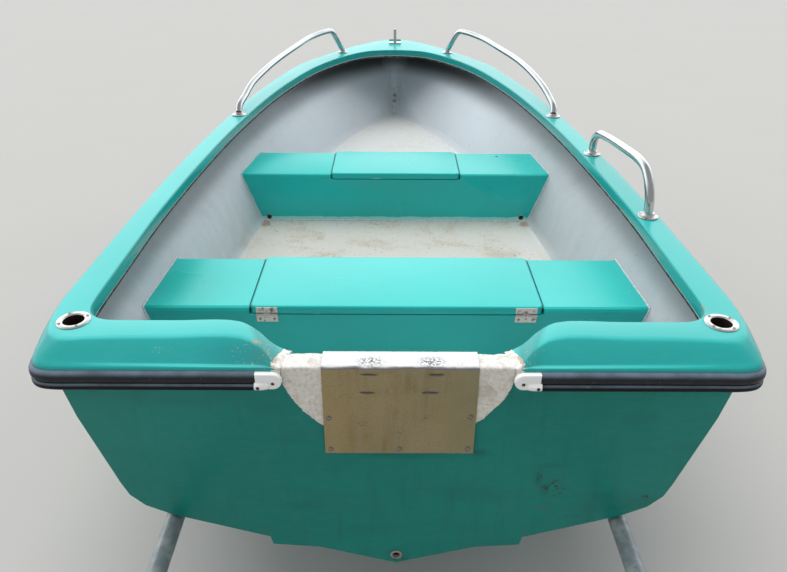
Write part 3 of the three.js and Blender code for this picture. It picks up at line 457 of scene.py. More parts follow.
# Dust and painted sheen: faces that look up turn a bluish grey.
black = rubber.mix(rubber.math("MULTIPLY", rubber.facing("Z", 0.12, 0.7), scuffed), RUBBER_CLEAN, RUBBER_DUST_AND_SHEEN)
nicks = rubber.range(rubber.noise(260, 2, rubber.place(size=(2.5, 2.5, 1))), 0.72, 0.76)
rubber.wear(
    colour=rubber.stained(black, (nicks, RUBBER_NICK, 0.6)),
    roughness=rubber.range(rubber.noise(70, 3), 0.3, 0.7, 0.34, 0.55),
)
rubber.bump(rubber.noise(300, 2), 0.0003, 0.5)

# Painted shade: a darker, duller rubber for the faces of the strip that look down.
shaded_rubber = Finish("shaded_rubber", (0.006, 0.006, 0.006), 0.5, specular=0.12)
shaded_rubber.wear(colour=shaded_rubber.mix(shaded_rubber.noise(60, 3), (0.004, 0.004, 0.004), (0.010, 0.010, 0.011)))

PLASTIC_WHITE, PLASTIC_GRIME = (0.92, 0.93, 0.92), (0.4, 0.28, 0.18)
white_plastic = Finish("white_plastic", PLASTIC_WHITE, 0.34)
grime = white_plastic.noise(60, 6, distortion=0.5)
white_plastic.wear(
    colour=white_plastic.stained(PLASTIC_WHITE, (white_plastic.range(grime, 0.56, 0.74), PLASTIC_GRIME, 0.4)),
    roughness=white_plastic.range(grime, 0.3, 0.7, 0.3, 0.5),
)
white_plastic.bump(white_plastic.noise(140, 2), 0.0003)
print("rubber's dust is", round(RUBBER_DUST_AND_SHEEN[1] / RUBBER_CLEAN[1]), "times as bright as the rubber")

# %% [markdown]
# ## Metals
# The rails are polished stainless tube, so they are nearly mirrors, with a fine haze. Hinge leaves and screws are
# duller, and rust starts where water stands. Rust isn't metal any more, so where the rust's mask is strong the
# metallic value falls and the roughness rises with it.

# %% Stainless and rusty steel
polished = Finish("polished_stainless", (0.55, 0.55, 0.55), 0.14, metallic=1.0)
polished.wear(roughness=polished.range(polished.noise(40, 4), 0.3, 0.75, 0.08, 0.2))
polished.bump(polished.noise(220, 2), 0.00008, 0.4)

stained_steel = Finish("stained_stainless", (0.6, 0.6, 0.58), 0.3, metallic=1.0)
bloom = stained_steel.range(stained_steel.noise(85, 6, distortion=0.5), 0.56, 0.7)
stained_steel.wear(
    colour=stained_steel.mix(bloom, (0.66, 0.65, 0.63), (0.3, 0.17, 0.1)),
    roughness=stained_steel.math("ADD", stained_steel.math("MULTIPLY", bloom, 0.4), 0.28),
    metallic=stained_steel.math("SUBTRACT", 1.0, stained_steel.math("MULTIPLY", bloom, 0.6)),
)
stained_steel.bump(stained_steel.noise(400, 3), 0.0002, 0.5)

rusty_steel = Finish("rusty_steel", RUST, 0.75, metallic=0.2)
flakes = rusty_steel.noise(500, 4)
rusty_steel.wear(
    colour=rusty_steel.mix(rusty_steel.range(flakes, 0.4, 0.65), (0.06, 0.022, 0.012), (0.2, 0.08, 0.04)))
rusty_steel.bump(flakes, 0.0006, 0.8)

dull_steel = Finish("dull_steel", (0.4, 0.36, 0.32), 0.42, metallic=0.9)
dull_steel.wear(colour=dull_steel.mix(dull_steel.noise(300, 4), (0.25, 0.2, 0.16), (0.55, 0.52, 0.48)))
dull_steel.bump(dull_steel.noise(700, 2), 0.0003)

dome_steel = Finish("dome_steel", (0.26, 0.23, 0.2), 0.16, metallic=1.0)
dome_steel.wear(colour=dome_steel.mix(dome_steel.noise(400, 2), (0.16, 0.13, 0.11), (0.34, 0.31, 0.29)))

bore_black = Finish("socket_bore", (0.02, 0.015, 0.012), 0.8, specular=0.1)
bore_black.wear(colour=bore_black.mix(bore_black.noise(90, 4), (0.008, 0.007, 0.006), (0.045, 0.028, 0.018)))
print("materials so far:", len(bpy.data.materials))

# %% [markdown]
# The cradle's pipes have the dull mottle of old zinc, which is weathered to grey salts and hardly mirrors any more.
# So its metallic value is low, and it rusts in long patches.

# %% Old zinc
ZINC_DARK, ZINC_PALE, ZINC_RUST = (0.21, 0.245, 0.27), (0.36, 0.38, 0.385), (0.3, 0.22, 0.15)
zinc = Finish("old_zinc", (0.36, 0.4, 0.43), 0.5, metallic=0.25)
weathered = zinc.mix(zinc.range(zinc.noise(38, 6, distortion=0.3), 0.35, 0.65), ZINC_DARK, ZINC_PALE)
zinc_rust = zinc.range(zinc.noise(9, 6, zinc.place(size=(1, 2.5, 1)), distortion=0.4), 0.56, 0.74)
zinc.wear(
    colour=zinc.stained(weathered, (zinc_rust, ZINC_RUST, 0.75)),
    roughness=zinc.math("ADD", zinc.math("MULTIPLY", zinc_rust, 0.3), 0.42),
    metallic=zinc.math("SUBTRACT", 0.25, zinc.math("MULTIPLY", zinc_rust, 0.2)),
)
zinc.bump(zinc.noise(120, 4), 0.0005, 0.5)
print("zinc from", ZINC_DARK, "to", ZINC_PALE)

# %% [markdown]
# The plate has lain in sun and salt for years. Its top is painted near white and little metallic, a painted
# reflection of the sky, with black pits in the two places where clamps stand. Its face has turned a dull brown-gold,
# greener to starboard, with faint upright brush lines and a few dark spots. The fold between top and face is painted
# darker, as painted shade. Dark marks at the dents are partly where clamps rubbed and partly painted shade in their
# creases. The surface's direction tells the top, fold and face apart.

# %% Clamp plate finish
GOLD, GOLD_DARK, GOLD_BRUSHED = (0.37, 0.30, 0.165), (0.26, 0.205, 0.105), (0.33, 0.28, 0.17)
GOLD_WARM, GOLD_GRAIN, GOLD_GREEN = (0.40, 0.30, 0.14), (0.16, 0.125, 0.075), (0.22, 0.225, 0.13)
BLOT, RUB_AND_CREASE_SHADE, PIT, SCRATCH, FOLD_SHADE = (
    (0.09, 0.085, 0.06), (0.05, 0.045, 0.04), (0.06, 0.045, 0.035), (0.2, 0.2, 0.2), (0.2, 0.18, 0.23))
PLATE_SPOTS = [(-0.067, 0.611, 0.013), (0.005, 0.585, 0.012), (0.059, 0.627, 0.010)]
RUBBED_AT = [(-0.056, 0.731), (-0.06, 0.688), (0.072, 0.731), (0.061, 0.688)]
PITS_AT = [-0.052, 0.064]
PLATE_FACE_Y = -1.402
clamp_plate = Finish("clamp_plate", (0.42, 0.37, 0.28), 0.3, metallic=0.85)
brushed = clamp_plate.noise(90, 4, clamp_plate.place(size=(1.0, 1.0, 12.0)))
smear = clamp_plate.noise(9, 6, clamp_plate.place(size=(1, 1, 1.6)), distortion=0.5, roughness=0.65)
gold = clamp_plate.mix(clamp_plate.range(smear, 0.32, 0.72), GOLD, GOLD_DARK)
gold = clamp_plate.stained(
    clamp_plate.mix(clamp_plate.range(brushed, 0.35, 0.7), gold, GOLD_BRUSHED),
    (clamp_plate.along("X", 0.0, -0.15), GOLD_WARM, 0.45),
    (clamp_plate.range(clamp_plate.noise(420, 2), 0.45, 0.7), GOLD_GRAIN, 0.4),
    (clamp_plate.along("X", 0.05, 0.16), GOLD_GREEN, 0.5),
)
gold = clamp_plate.speckled(gold, [
    ((x, PLATE_FACE_Y, z), (radius * 1.7, 0.02, radius * 1.2), BLOT, 210, 0.48) for x, z, radius in PLATE_SPOTS
], 0.4, soft=1.0)
# Dark marks at the dents: where clamps rubbed, and painted shade in their creases.
for x, z in RUBBED_AT:
    rub_and_crease_shade = clamp_plate.ragged(clamp_plate.spot((x, PLATE_FACE_Y, z), (0.03, 0.02, 0.006), 0.8), 150)
    gold = clamp_plate.stained(gold, (rub_and_crease_shade, RUB_AND_CREASE_SHADE, 0.75))
# Painted reflection: the top is near white and less metallic, standing in for the sky that it mirrors.
top_sky_reflection = clamp_plate.speckled((0.78, 0.78, 0.78), [
    ((x, -1.384, 0.7485), (0.038, 0.024, 0.01), PIT, 210, 0.48) for x in PITS_AT
], 0.9, soft=0.8)
scratches = clamp_plate.range(clamp_plate.noise(170, 3, clamp_plate.place(size=(0.5, 2.5, 1))), 0.66, 0.72)
top_sky_reflection = clamp_plate.stained(top_sky_reflection, (scratches, SCRATCH, 0.5))
on_top = clamp_plate.facing("Z", 0.3, 0.6)
# Painted shade on the fold, picked out by the surface's direction.
fold_shade = clamp_plate.math("MULTIPLY", clamp_plate.facing("Z", 0.12, 0.3), clamp_plate.facing("Z", 0.93, 0.7))
clamp_plate.wear(
    colour=clamp_plate.stained(clamp_plate.mix(on_top, gold, top_sky_reflection), (fold_shade, FOLD_SHADE, 0.8)),
    roughness=clamp_plate.range(smear, 0.3, 0.75, 0.26, 0.5),
    metallic=clamp_plate.range(on_top, 0.0, 1.0, 0.85, 0.25),
)
clamp_plate.bump(brushed, 0.0002, 0.5)
clamp_plate.bump(smear, 0.001, 0.4)
print("marks on the plate:", len(PLATE_SPOTS) + len(RUBBED_AT) + len(PITS_AT))

# %% [markdown]
# ## Helpers for meshes
# A few steps come back for every piece: turning a bmesh into an object that rides on its body, laying a grid of
# quads over rings of points, and bending a round tube along a path.

# %% Mesh helpers
def piece(name, bm, finishes, body=HULL, stands_for=(), sharp=35.0, recalc=True):
    """A bmesh as a finished object at the origin, riding on its body."""
    bmesh.ops.remove_doubles(bm, verts=bm.verts[:], dist=1e-5)
    if recalc:
        bmesh.ops.recalc_face_normals(bm, faces=bm.faces[:])
    mesh = bpy.data.meshes.new(name)
    bm.to_mesh(mesh)
    bm.free()
    mesh.shade_smooth()
    mesh.set_sharp_from_angle(angle=math.radians(sharp))
    made = bpy.data.objects.new(name, mesh)
    bpy.context.scene.collection.objects.link(made)
    for finish in finishes:
        mesh.materials.append(finish.material)
    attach(made, body)
    if stands_for:
        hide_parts(*stands_for)
    return made


def soften(made, width, segments=3, angle=35.0):
    """Rounds the edges that turn by more than angle."""
    edge = made.modifiers.new("rounded_edges", "BEVEL")
    edge.width = width
    edge.segments = segments
    edge.limit_method = "ANGLE"
    edge.angle_limit = math.radians(angle)
    edge.harden_normals = True
    return made


def round_edges(bm, chosen, width, segments=4):
    """Rounds the edges that chosen(edge) picks."""
    edges = [edge for edge in bm.edges if len(edge.link_faces) == 2 and chosen(edge)]
    bmesh.ops.bevel(bm, geom=edges, offset=width, segments=segments, profile=0.5, affect="EDGES", material=-1,
                    clamp_overlap=True)
    return len(edges)


def middle(edge):
    """The middle of an edge."""
    return (edge.verts[0].co + edge.verts[1].co) / 2


def run(edge):
    """The direction that an edge runs in."""
    return (edge.verts[1].co - edge.verts[0].co).normalized()


def sheet_over(rings, closed=True, capped=True, finish_of=None):
    """A skin of quads over equal rings of points: a bmesh grid laid on them."""
    count = len(rings[0])
    across = count + (1 if closed else 0)
    bm = bmesh.new()
    bmesh.ops.create_grid(bm, x_segments=across - 1, y_segments=len(rings) - 1, size=1.0)
    bm.verts.ensure_lookup_table()
    for i, vertex in enumerate(bm.verts):
        row, column = divmod(i, across)
        vertex.co = rings[row][column % count]
    if finish_of:
        for face in bm.faces:
            face.material_index = finish_of(min(v.index % across for v in face.verts))
    bmesh.ops.remove_doubles(bm, verts=bm.verts[:], dist=1e-6)
    if capped:
        bmesh.ops.holes_fill(bm, edges=bm.edges[:], sides=0)
    return bm


def bent_tube(bm, points, radius, sides=16):
    """Adds a round tube along points, with closed ends."""
    curve = bpy.data.curves.new("path", "CURVE")
    curve.dimensions = "3D"
    curve.bevel_depth = radius
    curve.bevel_resolution = max(sides // 4 - 1, 0)
    curve.use_fill_caps = True
    spline = curve.splines.new("POLY")
    spline.points.add(len(points) - 1)
    for target, point in zip(spline.points, points):
        target.co = (*point, 1.0)
    holder = bpy.data.objects.new("path", curve)
    bpy.context.scene.collection.objects.link(holder)
    bpy.context.view_layer.update()
    mesh = bpy.data.meshes.new_from_object(holder.evaluated_get(bpy.context.evaluated_depsgraph_get()))
    bm.from_mesh(mesh)
    bpy.data.meshes.remove(mesh)
    bpy.data.objects.remove(holder)
    bpy.data.curves.remove(curve)


def upright(axis):
    """The turn that brings a shape from standing up to pointing along axis."""
    return Vector((0, 0, 1)).rotation_difference(Vector(axis)).to_matrix().to_4x4()


def spun(bm, profile, centre, axis=(0, 0, 1), steps=32):
    """Adds a shape of revolution; profile is (radius, height along the axis) in metres."""
    turned = bmesh.new()
    ring = [turned.verts.new((r, 0, h)) for r, h in profile]
    edges = [turned.edges.new(pair) for pair in zip(ring, ring[1:])]
    bmesh.ops.spin(turned, geom=ring + edges, axis=(0, 0, 1), cent=(0, 0, 0), angle=2 * math.pi, steps=steps,
                   use_merge=True)
    bmesh.ops.remove_doubles(turned, verts=turned.verts[:], dist=1e-6)
    bmesh.ops.transform(turned, matrix=Matrix.Translation(Vector(centre)) @ upright(axis), verts=turned.verts[:])
    mesh = bpy.data.meshes.new("turned")
    turned.to_mesh(mesh)
    turned.free()
    bm.from_mesh(mesh)
    bpy.data.meshes.remove(mesh)


def smooth_rows(rows, steps):
    """Rows of numbers, and steps times as many laid on a smooth curve through them."""
    rows = np.array(rows, float)
    padded = np.vstack([2 * rows[0] - rows[1], rows, 2 * rows[-1] - rows[-2]])
    made = []
    for before, a, b, after in zip(padded, padded[1:], padded[2:], padded[3:]):
        g0, g1, g2 = (max(np.linalg.norm(q - p), 1e-6) ** 0.5 for p, q in ((before, a), (a, b), (b, after)))
        leave = ((a - before) / g0 - (b - before) / (g0 + g1) + (b - a) / g1) * g1
        arrive = ((b - a) / g1 - (after - a) / (g1 + g2) + (after - b) / g2) * g1
        for t in np.arange(steps) / steps:
            t2, t3 = t * t, t * t * t
            made.append((2 * t3 - 3 * t2 + 1) * a + (t3 - 2 * t2 + t) * leave
                        + (3 * t2 - 2 * t3) * b + (t3 - t2) * arrive)
    made.append(rows[-1])
    return np.array(made)


def merged(node):
    """A solid part's mesh with its loose triangles merged into clean faces."""
    bm = bmesh.new()
    bm.from_mesh(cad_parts[node].data)
    bmesh.ops.remove_doubles(bm, verts=bm.verts[:], dist=1e-5)
    bmesh.ops.dissolve_limit(bm, angle_limit=math.radians(0.6), verts=bm.verts[:], edges=bm.edges[:])
    bm.normal_update()
    return bm


def copy_of(node, name, finishes, body=HULL, bevel=0.0, segments=3, sharp=35.0):
    """A solid part again, merged, with its edges rounded when bevel is given."""
    made = piece(name, merged(node), finishes, body, stands_for=(node,), sharp=sharp, recalc=False)
    return soften(made, bevel, segments, sharp) if bevel else made


# %% [markdown]
# ## The gunwale moulding
# The gunwale is a second moulding that caps the hull. Its top is flat. Along the sides it rolls over in a round
# shoulder, and across the quarters it falls aft in a long slope that ends in a small ledge above the rub rail. The
# same rows of plan points as in the solid model are laid on a smooth curve here, with a finer section round each.

# %% Gunwale plan and section
LENGTH = 2994  # of the moulding, like all that follows in millimetres
GUNWALE_Z = 774  # the top's height over the ground, at the transom
SHEER_RISE = 30  # how much higher the top is at the bow
FLANGE_DROP = 73  # how far the outer flange hangs down
LIP_DROP = 28  # how far the crisp inner lip hangs down
WALL = 5
# Columns: outer x, outer y, inner x, inner y, drop of the top, width of the shoulder, drop of the shoulder,
# and how sharp the ridge is: 1 for a ridge over a straight slope, 0 for a round shoulder
QUARTER = [
    (232, -8, 216, 52, 28, 4, 4, 1),
    (238, -8, 246, 68, 22, 16, 10, 1),
    (260, -8, 277, 90, 8, 44, 24, 1),
    (300, -8, 318, 113, 0, 66, 32, 1),
    (450, -8, 450, 116, 0, 66, 32, 0.9),
    (600, -8, 560, 116, 0, 66, 32, 0.8),
    (655, -8, 592, 119, 0, 66, 32, 0.7),
    (680, -3, 612, 128, 0, 66, 32, 0.6),
    (694, 8, 626, 142, 0, 64, 32, 0.5),
    (702, 28, 634, 162, 0, 52, 32, 0.35),
    (709, 80, 637, 185, 0, 30, 32, 0.1),
]
SIDE = [
    (715, 180, 638, 235), (716, 270, 638, 300), (713, 437, 638, 440), (709, 620, 637, 640),
    (690, 1010, 618, 1010), (652, 1445, 580, 1420), (597, 1856, 518, 1830), (531, 2162, 453, 2110),
    (465, 2397, 379, 2340), (357, 2606, 270, 2545), (210, 2828, 150, 2678), (92, 2953, 60, 2708),
    (0, LENGTH, 0, 2713),
]
SIDE_SHOULDER, SIDE_FALL = 14, 32
STEPS_A_SPAN = 5

starboard = [list(row) for row in QUARTER] + [[*row, 0, SIDE_SHOULDER, SIDE_FALL, 0] for row in SIDE]
port = [[-row[0], row[1], -row[2], *row[3:]] for row in reversed(starboard[:-1])]
gunwale_rows = smooth_rows(starboard + port, STEPS_A_SPAN)
print("gunwale stations:", len(gunwale_rows))


def rise(y):
    """How much higher the gunwale is at y than at the transom: the boat's sheer."""
    return SHEER_RISE * (max(y, 0) / LENGTH) ** 2


def gunwale_section(width, drop, shoulder, fall, ridge):
    """Points of the moulding's section: distance in from the outer edge, and height from the top."""
    foot = drop - FLANGE_DROP
    bead = 3.4 * min(fall / 16, 1)
    rolled = [(0, -fall), (0, -fall * 0.93), *(
        (shoulder * (1 - math.cos(t)), -fall * (1 - math.sin(t))) for t in (0.2, 0.4, 0.6, 0.8, 1.0, 1.2, 1.35, 1.47)
    ), (shoulder, 0), (shoulder + 4, 0)]
    ledge = min(shoulder / 50, 1)
    sloped = [(0, -fall), (1.0, bead * 0.8 - fall), (2.6, bead - fall), (4.5 * ledge, bead + 0.1 - fall),
              (10.5 * ledge, bead + 0.2 - fall), (12.5 * ledge, bead + 0.7 - fall),
              (15 * ledge, bead + 2.4 - fall), (shoulder * 0.5, -fall * 0.46),
              (shoulder * 0.8, -5.2 * fall / 32), (shoulder * 0.9, -2.2 * fall / 32), (shoulder, -0.6),
              (shoulder + 6, 0)]
    outside = [(a + (c - a) * ridge, b + (d - b) * ridge) for (a, b), (c, d) in zip(rolled, sloped)]
    under = max(fall, 10)
    lip = min(LIP_DROP, FLANGE_DROP - drop)
    return [
        (0, foot), *outside,
        (width - 5, 0), (width - 2.8, -0.3), (width - 1.2, -1.2), (width - 0.3, -2.8), (width, -5),
        # Round the lip's edge, then a short strip hangs 11 mm under it: painted shade under the lip.
        (width, -lip), (width - 0.8, -lip - 2.2), (width - 2.2, -lip - 2.6), (width - 2.6, -lip - 11),
        (width - WALL, -lip - 11), (width - WALL, -WALL - 5),
        (width - WALL - 4, -WALL), (max(shoulder + 7, WALL + 5), -WALL),
        (max(shoulder * 0.6 + 2, WALL + 2), -under * 0.3 - WALL),
        (max(shoulder * 0.22 + 3, WALL + 0.6), -under * 0.7 - WALL), (WALL, -under - WALL), (WALL, foot),
    ]


# From these points of the section on, the cut edge of the glass is pale, and the glass under it, with a strip that
# hangs below the lip, is painted near black as painted shade
CUT_FROM, SHADE_FROM = 18, 20


def gunwale_ring(row, chosen=list):
    """The section at one row of the plan, in metres. chosen may pick or space its points."""
    outer, inner = Vector(row[0:2]), Vector(row[2:4])
    drop, shoulder, fall, ridge = row[4:8]
    inward = (inner - outer).normalized()
    ring = []
    for a, b in chosen(gunwale_section((inner - outer).length, drop, shoulder, fall, min(max(ridge, 0), 1))):
        place = outer + inward * a
        ring.append(Vector((place.x * MM, place.y * MM + TRANSOM_Y, (GUNWALE_Z + rise(place.y) - drop + b) * MM)))
    return ring


# %% [markdown]
# The section is laid at every station, and the rings are skinned with quads. The rounded faces are gelcoat, the cut
# edge of the inner lip is pale glass, and the underside, with a short strip that hangs below the lip, is painted near
# black as painted shade. A boatyard drills the holes for the pole sockets through the finished moulding, so a Boolean
# cuts them here, through the top and its underside at once.

# %% Gunwale piece, with the two round holes for the pole sockets
SOCKET_X, SOCKET_Y, SOCKET_HOLE, DRILL_LENGTH = 650, 110, 22.8, 120


def bored(made, centres, radius, depth):
    """Cuts upright round holes through a piece."""
    bm = bmesh.new()
    for centre in centres:
        place = Matrix.Translation(Vector(centre))
        bmesh.ops.create_cone(bm, cap_ends=True, segments=40, radius1=radius, radius2=radius, depth=depth,
                              matrix=place)
    mesh = bpy.data.meshes.new("drill")
    bm.to_mesh(mesh)
    bm.free()
    drill = bpy.data.objects.new("drill", mesh)
    bpy.context.scene.collection.objects.link(drill)
    cut = made.modifiers.new("holes", "BOOLEAN")
    cut.operation, cut.solver, cut.object = "DIFFERENCE", "EXACT", drill
    bpy.context.view_layer.update()
    whole = bpy.data.meshes.new_from_object(made.evaluated_get(bpy.context.evaluated_depsgraph_get()))
    made.modifiers.remove(cut)
    made.data = whole
    bpy.data.objects.remove(drill)


gunwale_skin = sheet_over([gunwale_ring(row) for row in gunwale_rows],
                          finish_of=lambda column: int(column >= CUT_FROM) + int(column >= SHADE_FROM))
gunwale = piece("gunwale_gelcoat", gunwale_skin, [deck_gelcoat, raw_glass, underside_shade],
                stands_for=("gunwale_moulding",), sharp=50)
socket_places = [(side * SOCKET_X * MM, SOCKET_Y * MM + TRANSOM_Y, GUNWALE_Z * MM) for side in (-1, 1)]
bored(gunwale, socket_places, SOCKET_HOLE * MM, DRILL_LENGTH * MM)
print("gunwale faces:", len(gunwale.data.polygons))

# %% [markdown]
# The transom's glass mat was lapped a little way up each end of the gunwale and left raw. The lap is a thin sheet
# laid on the first few sections of the gunwale, with an uneven edge, and it gets shorter toward the gunwale's inner
# edge. Its points lie a steady distance apart, because crowded points turn into spikes when a sheet is thickened.
# Noise then makes it lumpy. noise_vector starts from the computer's clock unless it is given a seed, so it gets one
# here, and the laps and the tapes round the benches come out the same each time.

# %% Laps over the gunwale's ends
LAP_POINTS = 18  # points of the gunwale's section that the lap lies on
LAP_FOOT = 14  # how much of the flange is bare below the lap, in millimetres
LAP_COLUMNS, LAP_UPRIGHT = 18, 5  # points across the lap, and how many of them lie on the upright flange
LAP_TAPER, LAP_TAPER_FROM, LAP_TAPER_OVER = 0.75, 7, 7  # share lost at the inner edge, and the points it takes
# Columns: which station of the gunwale, how far it is moved to the middle, how far it is raised
LAP_STATIONS = [(0, -9, -1.2), (0, -3, 0.8), (0, 1, 1.5), (2, 0, 1.3), (4, 0, 0.9), (5, 1, -0.3)]


def evened(section):
    """The outside of the gunwale's section, from a little over its foot, as points a steady distance apart."""
    a = np.maximum.accumulate([point[0] for point in section[:LAP_POINTS]])
    b = np.array([point[1] for point in section[:LAP_POINTS]])
    travelled = np.concatenate([[0], np.cumsum(np.hypot(np.diff(a), np.diff(b)))])
    places = np.linspace(LAP_FOOT, travelled[-1], LAP_COLUMNS)
    return zip(np.interp(places, travelled, a), np.interp(places, travelled, b))


def row_at(station):
    """The gunwale's row at a station that may lie between two others."""
    lower = int(station)
    return gunwale_rows[lower] + (gunwale_rows[lower + 1] - gunwale_rows[lower]) * (station - lower)


def lap_ring(side, station, outward, raised):
    """One row of the lap: up the flange, over the slope and across the top."""
    ring = []
    for i in range(LAP_COLUMNS):
        inner_share = min(max((i - LAP_TAPER_FROM) / LAP_TAPER_OVER, 0), 1)
        point = gunwale_ring(row_at(station * (1 - LAP_TAPER * inner_share)), evened)[i]
        ragged = noise.noise(point * 110) * 4 if station > 2 else 0
        if i < LAP_UPRIGHT:
            back, over = raised, 0
        else:
            back, over = 0.3 * max(raised, 0), raised + noise.noise(point * 90) * 0.5
        ring.append(point + Vector(((outward + ragged) * MM, -back * MM, over * MM)))
        ring[-1].x *= side
    return ring


NOISE_SEED = 3
noise.seed_set(NOISE_SEED)
laps = bmesh.new()
for side in (-1, 1):
    sheet = sheet_over([lap_ring(side, *row) for row in LAP_STATIONS], closed=False, capped=False)
    bmesh.ops.subdivide_edges(sheet, edges=sheet.edges[:], cuts=2, use_grid_fill=True)
    for vertex in sheet.verts:
        vertex.co += noise.noise_vector(vertex.co * 150) * 0.0008
    bmesh.ops.recalc_face_normals(sheet, faces=sheet.faces[:])
    if sum(face.normal.z for face in sheet.faces) < 0:
        bmesh.ops.reverse_faces(sheet, faces=sheet.faces[:])
    bmesh.ops.solidify(sheet, geom=sheet.faces[:], thickness=0.001)
    mesh = bpy.data.meshes.new("lap")
    sheet.to_mesh(mesh)
    sheet.free()
    laps.from_mesh(mesh)
    bpy.data.meshes.remove(mesh)
lapped_over = piece("pad_laps", laps, [raw_glass], sharp=60)
print("lap faces:", len(lapped_over.data.polygons))

# %% [markdown]
# ## The rub rail
# A black rubber strip runs round the boat under the gunwale. It has a broad round rib over a narrow one, with a
# groove between them. Its section is carried square to the gunwale's edge all the way round, and it ends in two
# white plastic caps, each a plate with one half-round end, its aft edges rounded, held by two rusty screws. The
# strip's lower rib runs on into each cap as a round lobe.

# %% Rub rail
RAIL_BOTTOM, RAIL_STARTS = 697, 270
# Columns: distance out from the gunwale's flange, height from the rail's foot
RAIL_SECTION = [
    (0.3, 0), (3.5, 0.1), (6.3, 1), (8.6, 3.4), (9.6, 7.2), (9.5, 10.6), (8.3, 13.6), (6.2, 15.6), (5.2, 16.6),
    (5.4, 17.6), (7.4, 18.8), (9.0, 21.6), (9.8, 25), (9.8, 29.5), (8.8, 34.6), (6.4, 39), (3.4, 41.4), (0.3, 42),
]


def rail_rings():
    """The strip's section, carried from one cap round the bow to the other."""
    path = [row for row in gunwale_rows if abs(row[0]) > RAIL_STARTS + 20 or row[1] > 0]
    start, finish = path[0].copy(), path[-1].copy()
    start[0], finish[0] = RAIL_STARTS + 0.5, -RAIL_STARTS - 0.5
    path = [start, *path, finish]
    rings = []
    for i, row in enumerate(path):
        before, after = Vector(path[max(i - 1, 0)][:2]), Vector(path[min(i + 1, len(path) - 1)][:2])
        along = (after - before).normalized()
        z = RAIL_BOTTOM + rise(row[1])
        rings.append([
            Vector(((row[0] + along.y * a) * MM, (row[1] - along.x * a) * MM + TRANSOM_Y, (z + b) * MM))
            for a, b in RAIL_SECTION
        ])
    return rings


# These faces take the dust and painted sheen; the others take the darker rubber, as painted shade.
DUST_AND_SHEEN_COLUMNS = (5, 6, 10, 11, 12, 13, 14, 15, 16)  # the strip's faces that look up enough to hold dust
rail_skin = sheet_over(rail_rings(), finish_of=lambda column: int(column not in DUST_AND_SHEEN_COLUMNS))
strip = piece("rub_rail_strip", rail_skin, [rubber, shaded_rubber], stands_for=("rub_rail",), sharp=60)
print("rub rail faces:", len(strip.data.polygons))

# %% [markdown]
# A cap is one outline drawn out aft to its depth. Only the edges of its aft face are rounded, since its back lies
# flat on the boat. The lobe is a short bent tube that sinks into the plate.

# %% Rail end caps
CAP_INNER, CAP_OUTER, CAP_FOOT, CAP_HEIGHT, CAP_DEPTH = 220, RAIL_STARTS, 703, 35, 11
FLANGE_Y, NOSE, NOSE_STEPS, CAP_EDGE = -8.3, 17.5, 12, 3.2
# The lobe: x out from the middle, and depth behind the transom
LOBE_PATH, LOBE_Z, LOBE_RADIUS = [(271.5, 17.5), (258, 17.5), (251, 16.5), (246, 13), (243, 8)], 711, 8


def cap_outline():
    """A plate with one half-round end: x, and height from its foot."""
    outline = [(CAP_OUTER, 0), (CAP_OUTER, CAP_HEIGHT)]
    for i in range(NOSE_STEPS + 1):
        turn = math.pi / 2 + math.pi * i / NOSE_STEPS
        half_way = i - NOSE_STEPS // 2
        level = CAP_HEIGHT - NOSE if half_way < 0 else (CAP_HEIGHT / 2 if half_way == 0 else NOSE)
        outline.append((CAP_INNER + NOSE + NOSE * math.cos(turn), level + NOSE * math.sin(turn)))
    return outline


for label, side in (("port", -1), ("starboard", 1)):
    bm = bmesh.new()
    back = bm.faces.new([
        bm.verts.new((side * x * MM, FLANGE_Y * MM + TRANSOM_Y, (CAP_FOOT + z) * MM)) for x, z in cap_outline()
    ])
    front = bmesh.ops.extrude_face_region(bm, geom=[back])["geom"]
    front = [item for item in front if isinstance(item, bmesh.types.BMFace)]
    bmesh.ops.translate(bm, verts=front[0].verts[:], vec=(0, -CAP_DEPTH * MM, 0))
    bmesh.ops.recalc_face_normals(bm, faces=bm.faces[:])
    rounded = round_edges(
        bm, lambda edge: middle(edge).y < TRANSOM_Y - 0.018 and edge.calc_face_angle(0) > 1, CAP_EDGE * MM, 5)
    bent_tube(bm, [(side * x * MM, TRANSOM_Y - out * MM, LOBE_Z * MM) for x, out in LOBE_PATH], LOBE_RADIUS * MM, 24)
    piece("rail_end_cap_" + label, bm, [white_plastic], stands_for=("rub_rail_cap_" + label,),
          sharp=50)
    print(label, "cap edges rounded:", rounded)

# %% [markdown]
# ## The hull, floor and benches
# These come from the solid model, merged into clean faces. The hull has green gelcoat outside and grey flow coat
# inside, so each face takes the finish of the side that it is on. A mould can't make sharp corners, so its chines
# and the edges of the benches are rounded, which also gives each edge the thin bright line that gloss has.

# %% Hull shell in two finishes
hull_tree = BVHTree.FromBMesh(merged("hull_shell"))
RIM_Z = 0.69


def is_inside(face):
    """Whether a face of the hull looks into the boat: its level ray then meets the far side."""
    level = Vector((face.normal.x, face.normal.y, 0))
    if level.length < 0.15:
        return face.normal.z > 0 and face.calc_center_median().z < RIM_Z
    return hull_tree.ray_cast(face.calc_center_median() + face.normal * 0.002, level.normalized(), 4.0)[0] is not None


CHINES_TOP, CHINE_ROUND, CORNER_ROUND = 0.60, 0.014, 0.004


def is_chine(edge):
    """Whether an edge runs along the hull outside, low down, and is sharp enough to be seen."""
    return (edge.calc_face_angle(0) > math.radians(12) and abs(run(edge).y) > 0.5 and middle(edge).z < CHINES_TOP
            and not any(is_inside(face) for face in edge.link_faces))


def is_transom_edge(edge):
    """Whether an edge goes round the transom's aft face. The keel's stays sharp."""
    return (middle(edge).y < TRANSOM_Y + 0.002 and edge.calc_face_angle(0) > 0.9 and abs(run(edge).y) < 0.3
            and middle(edge).z < 0.70 and abs(middle(edge).x) > 0.03)


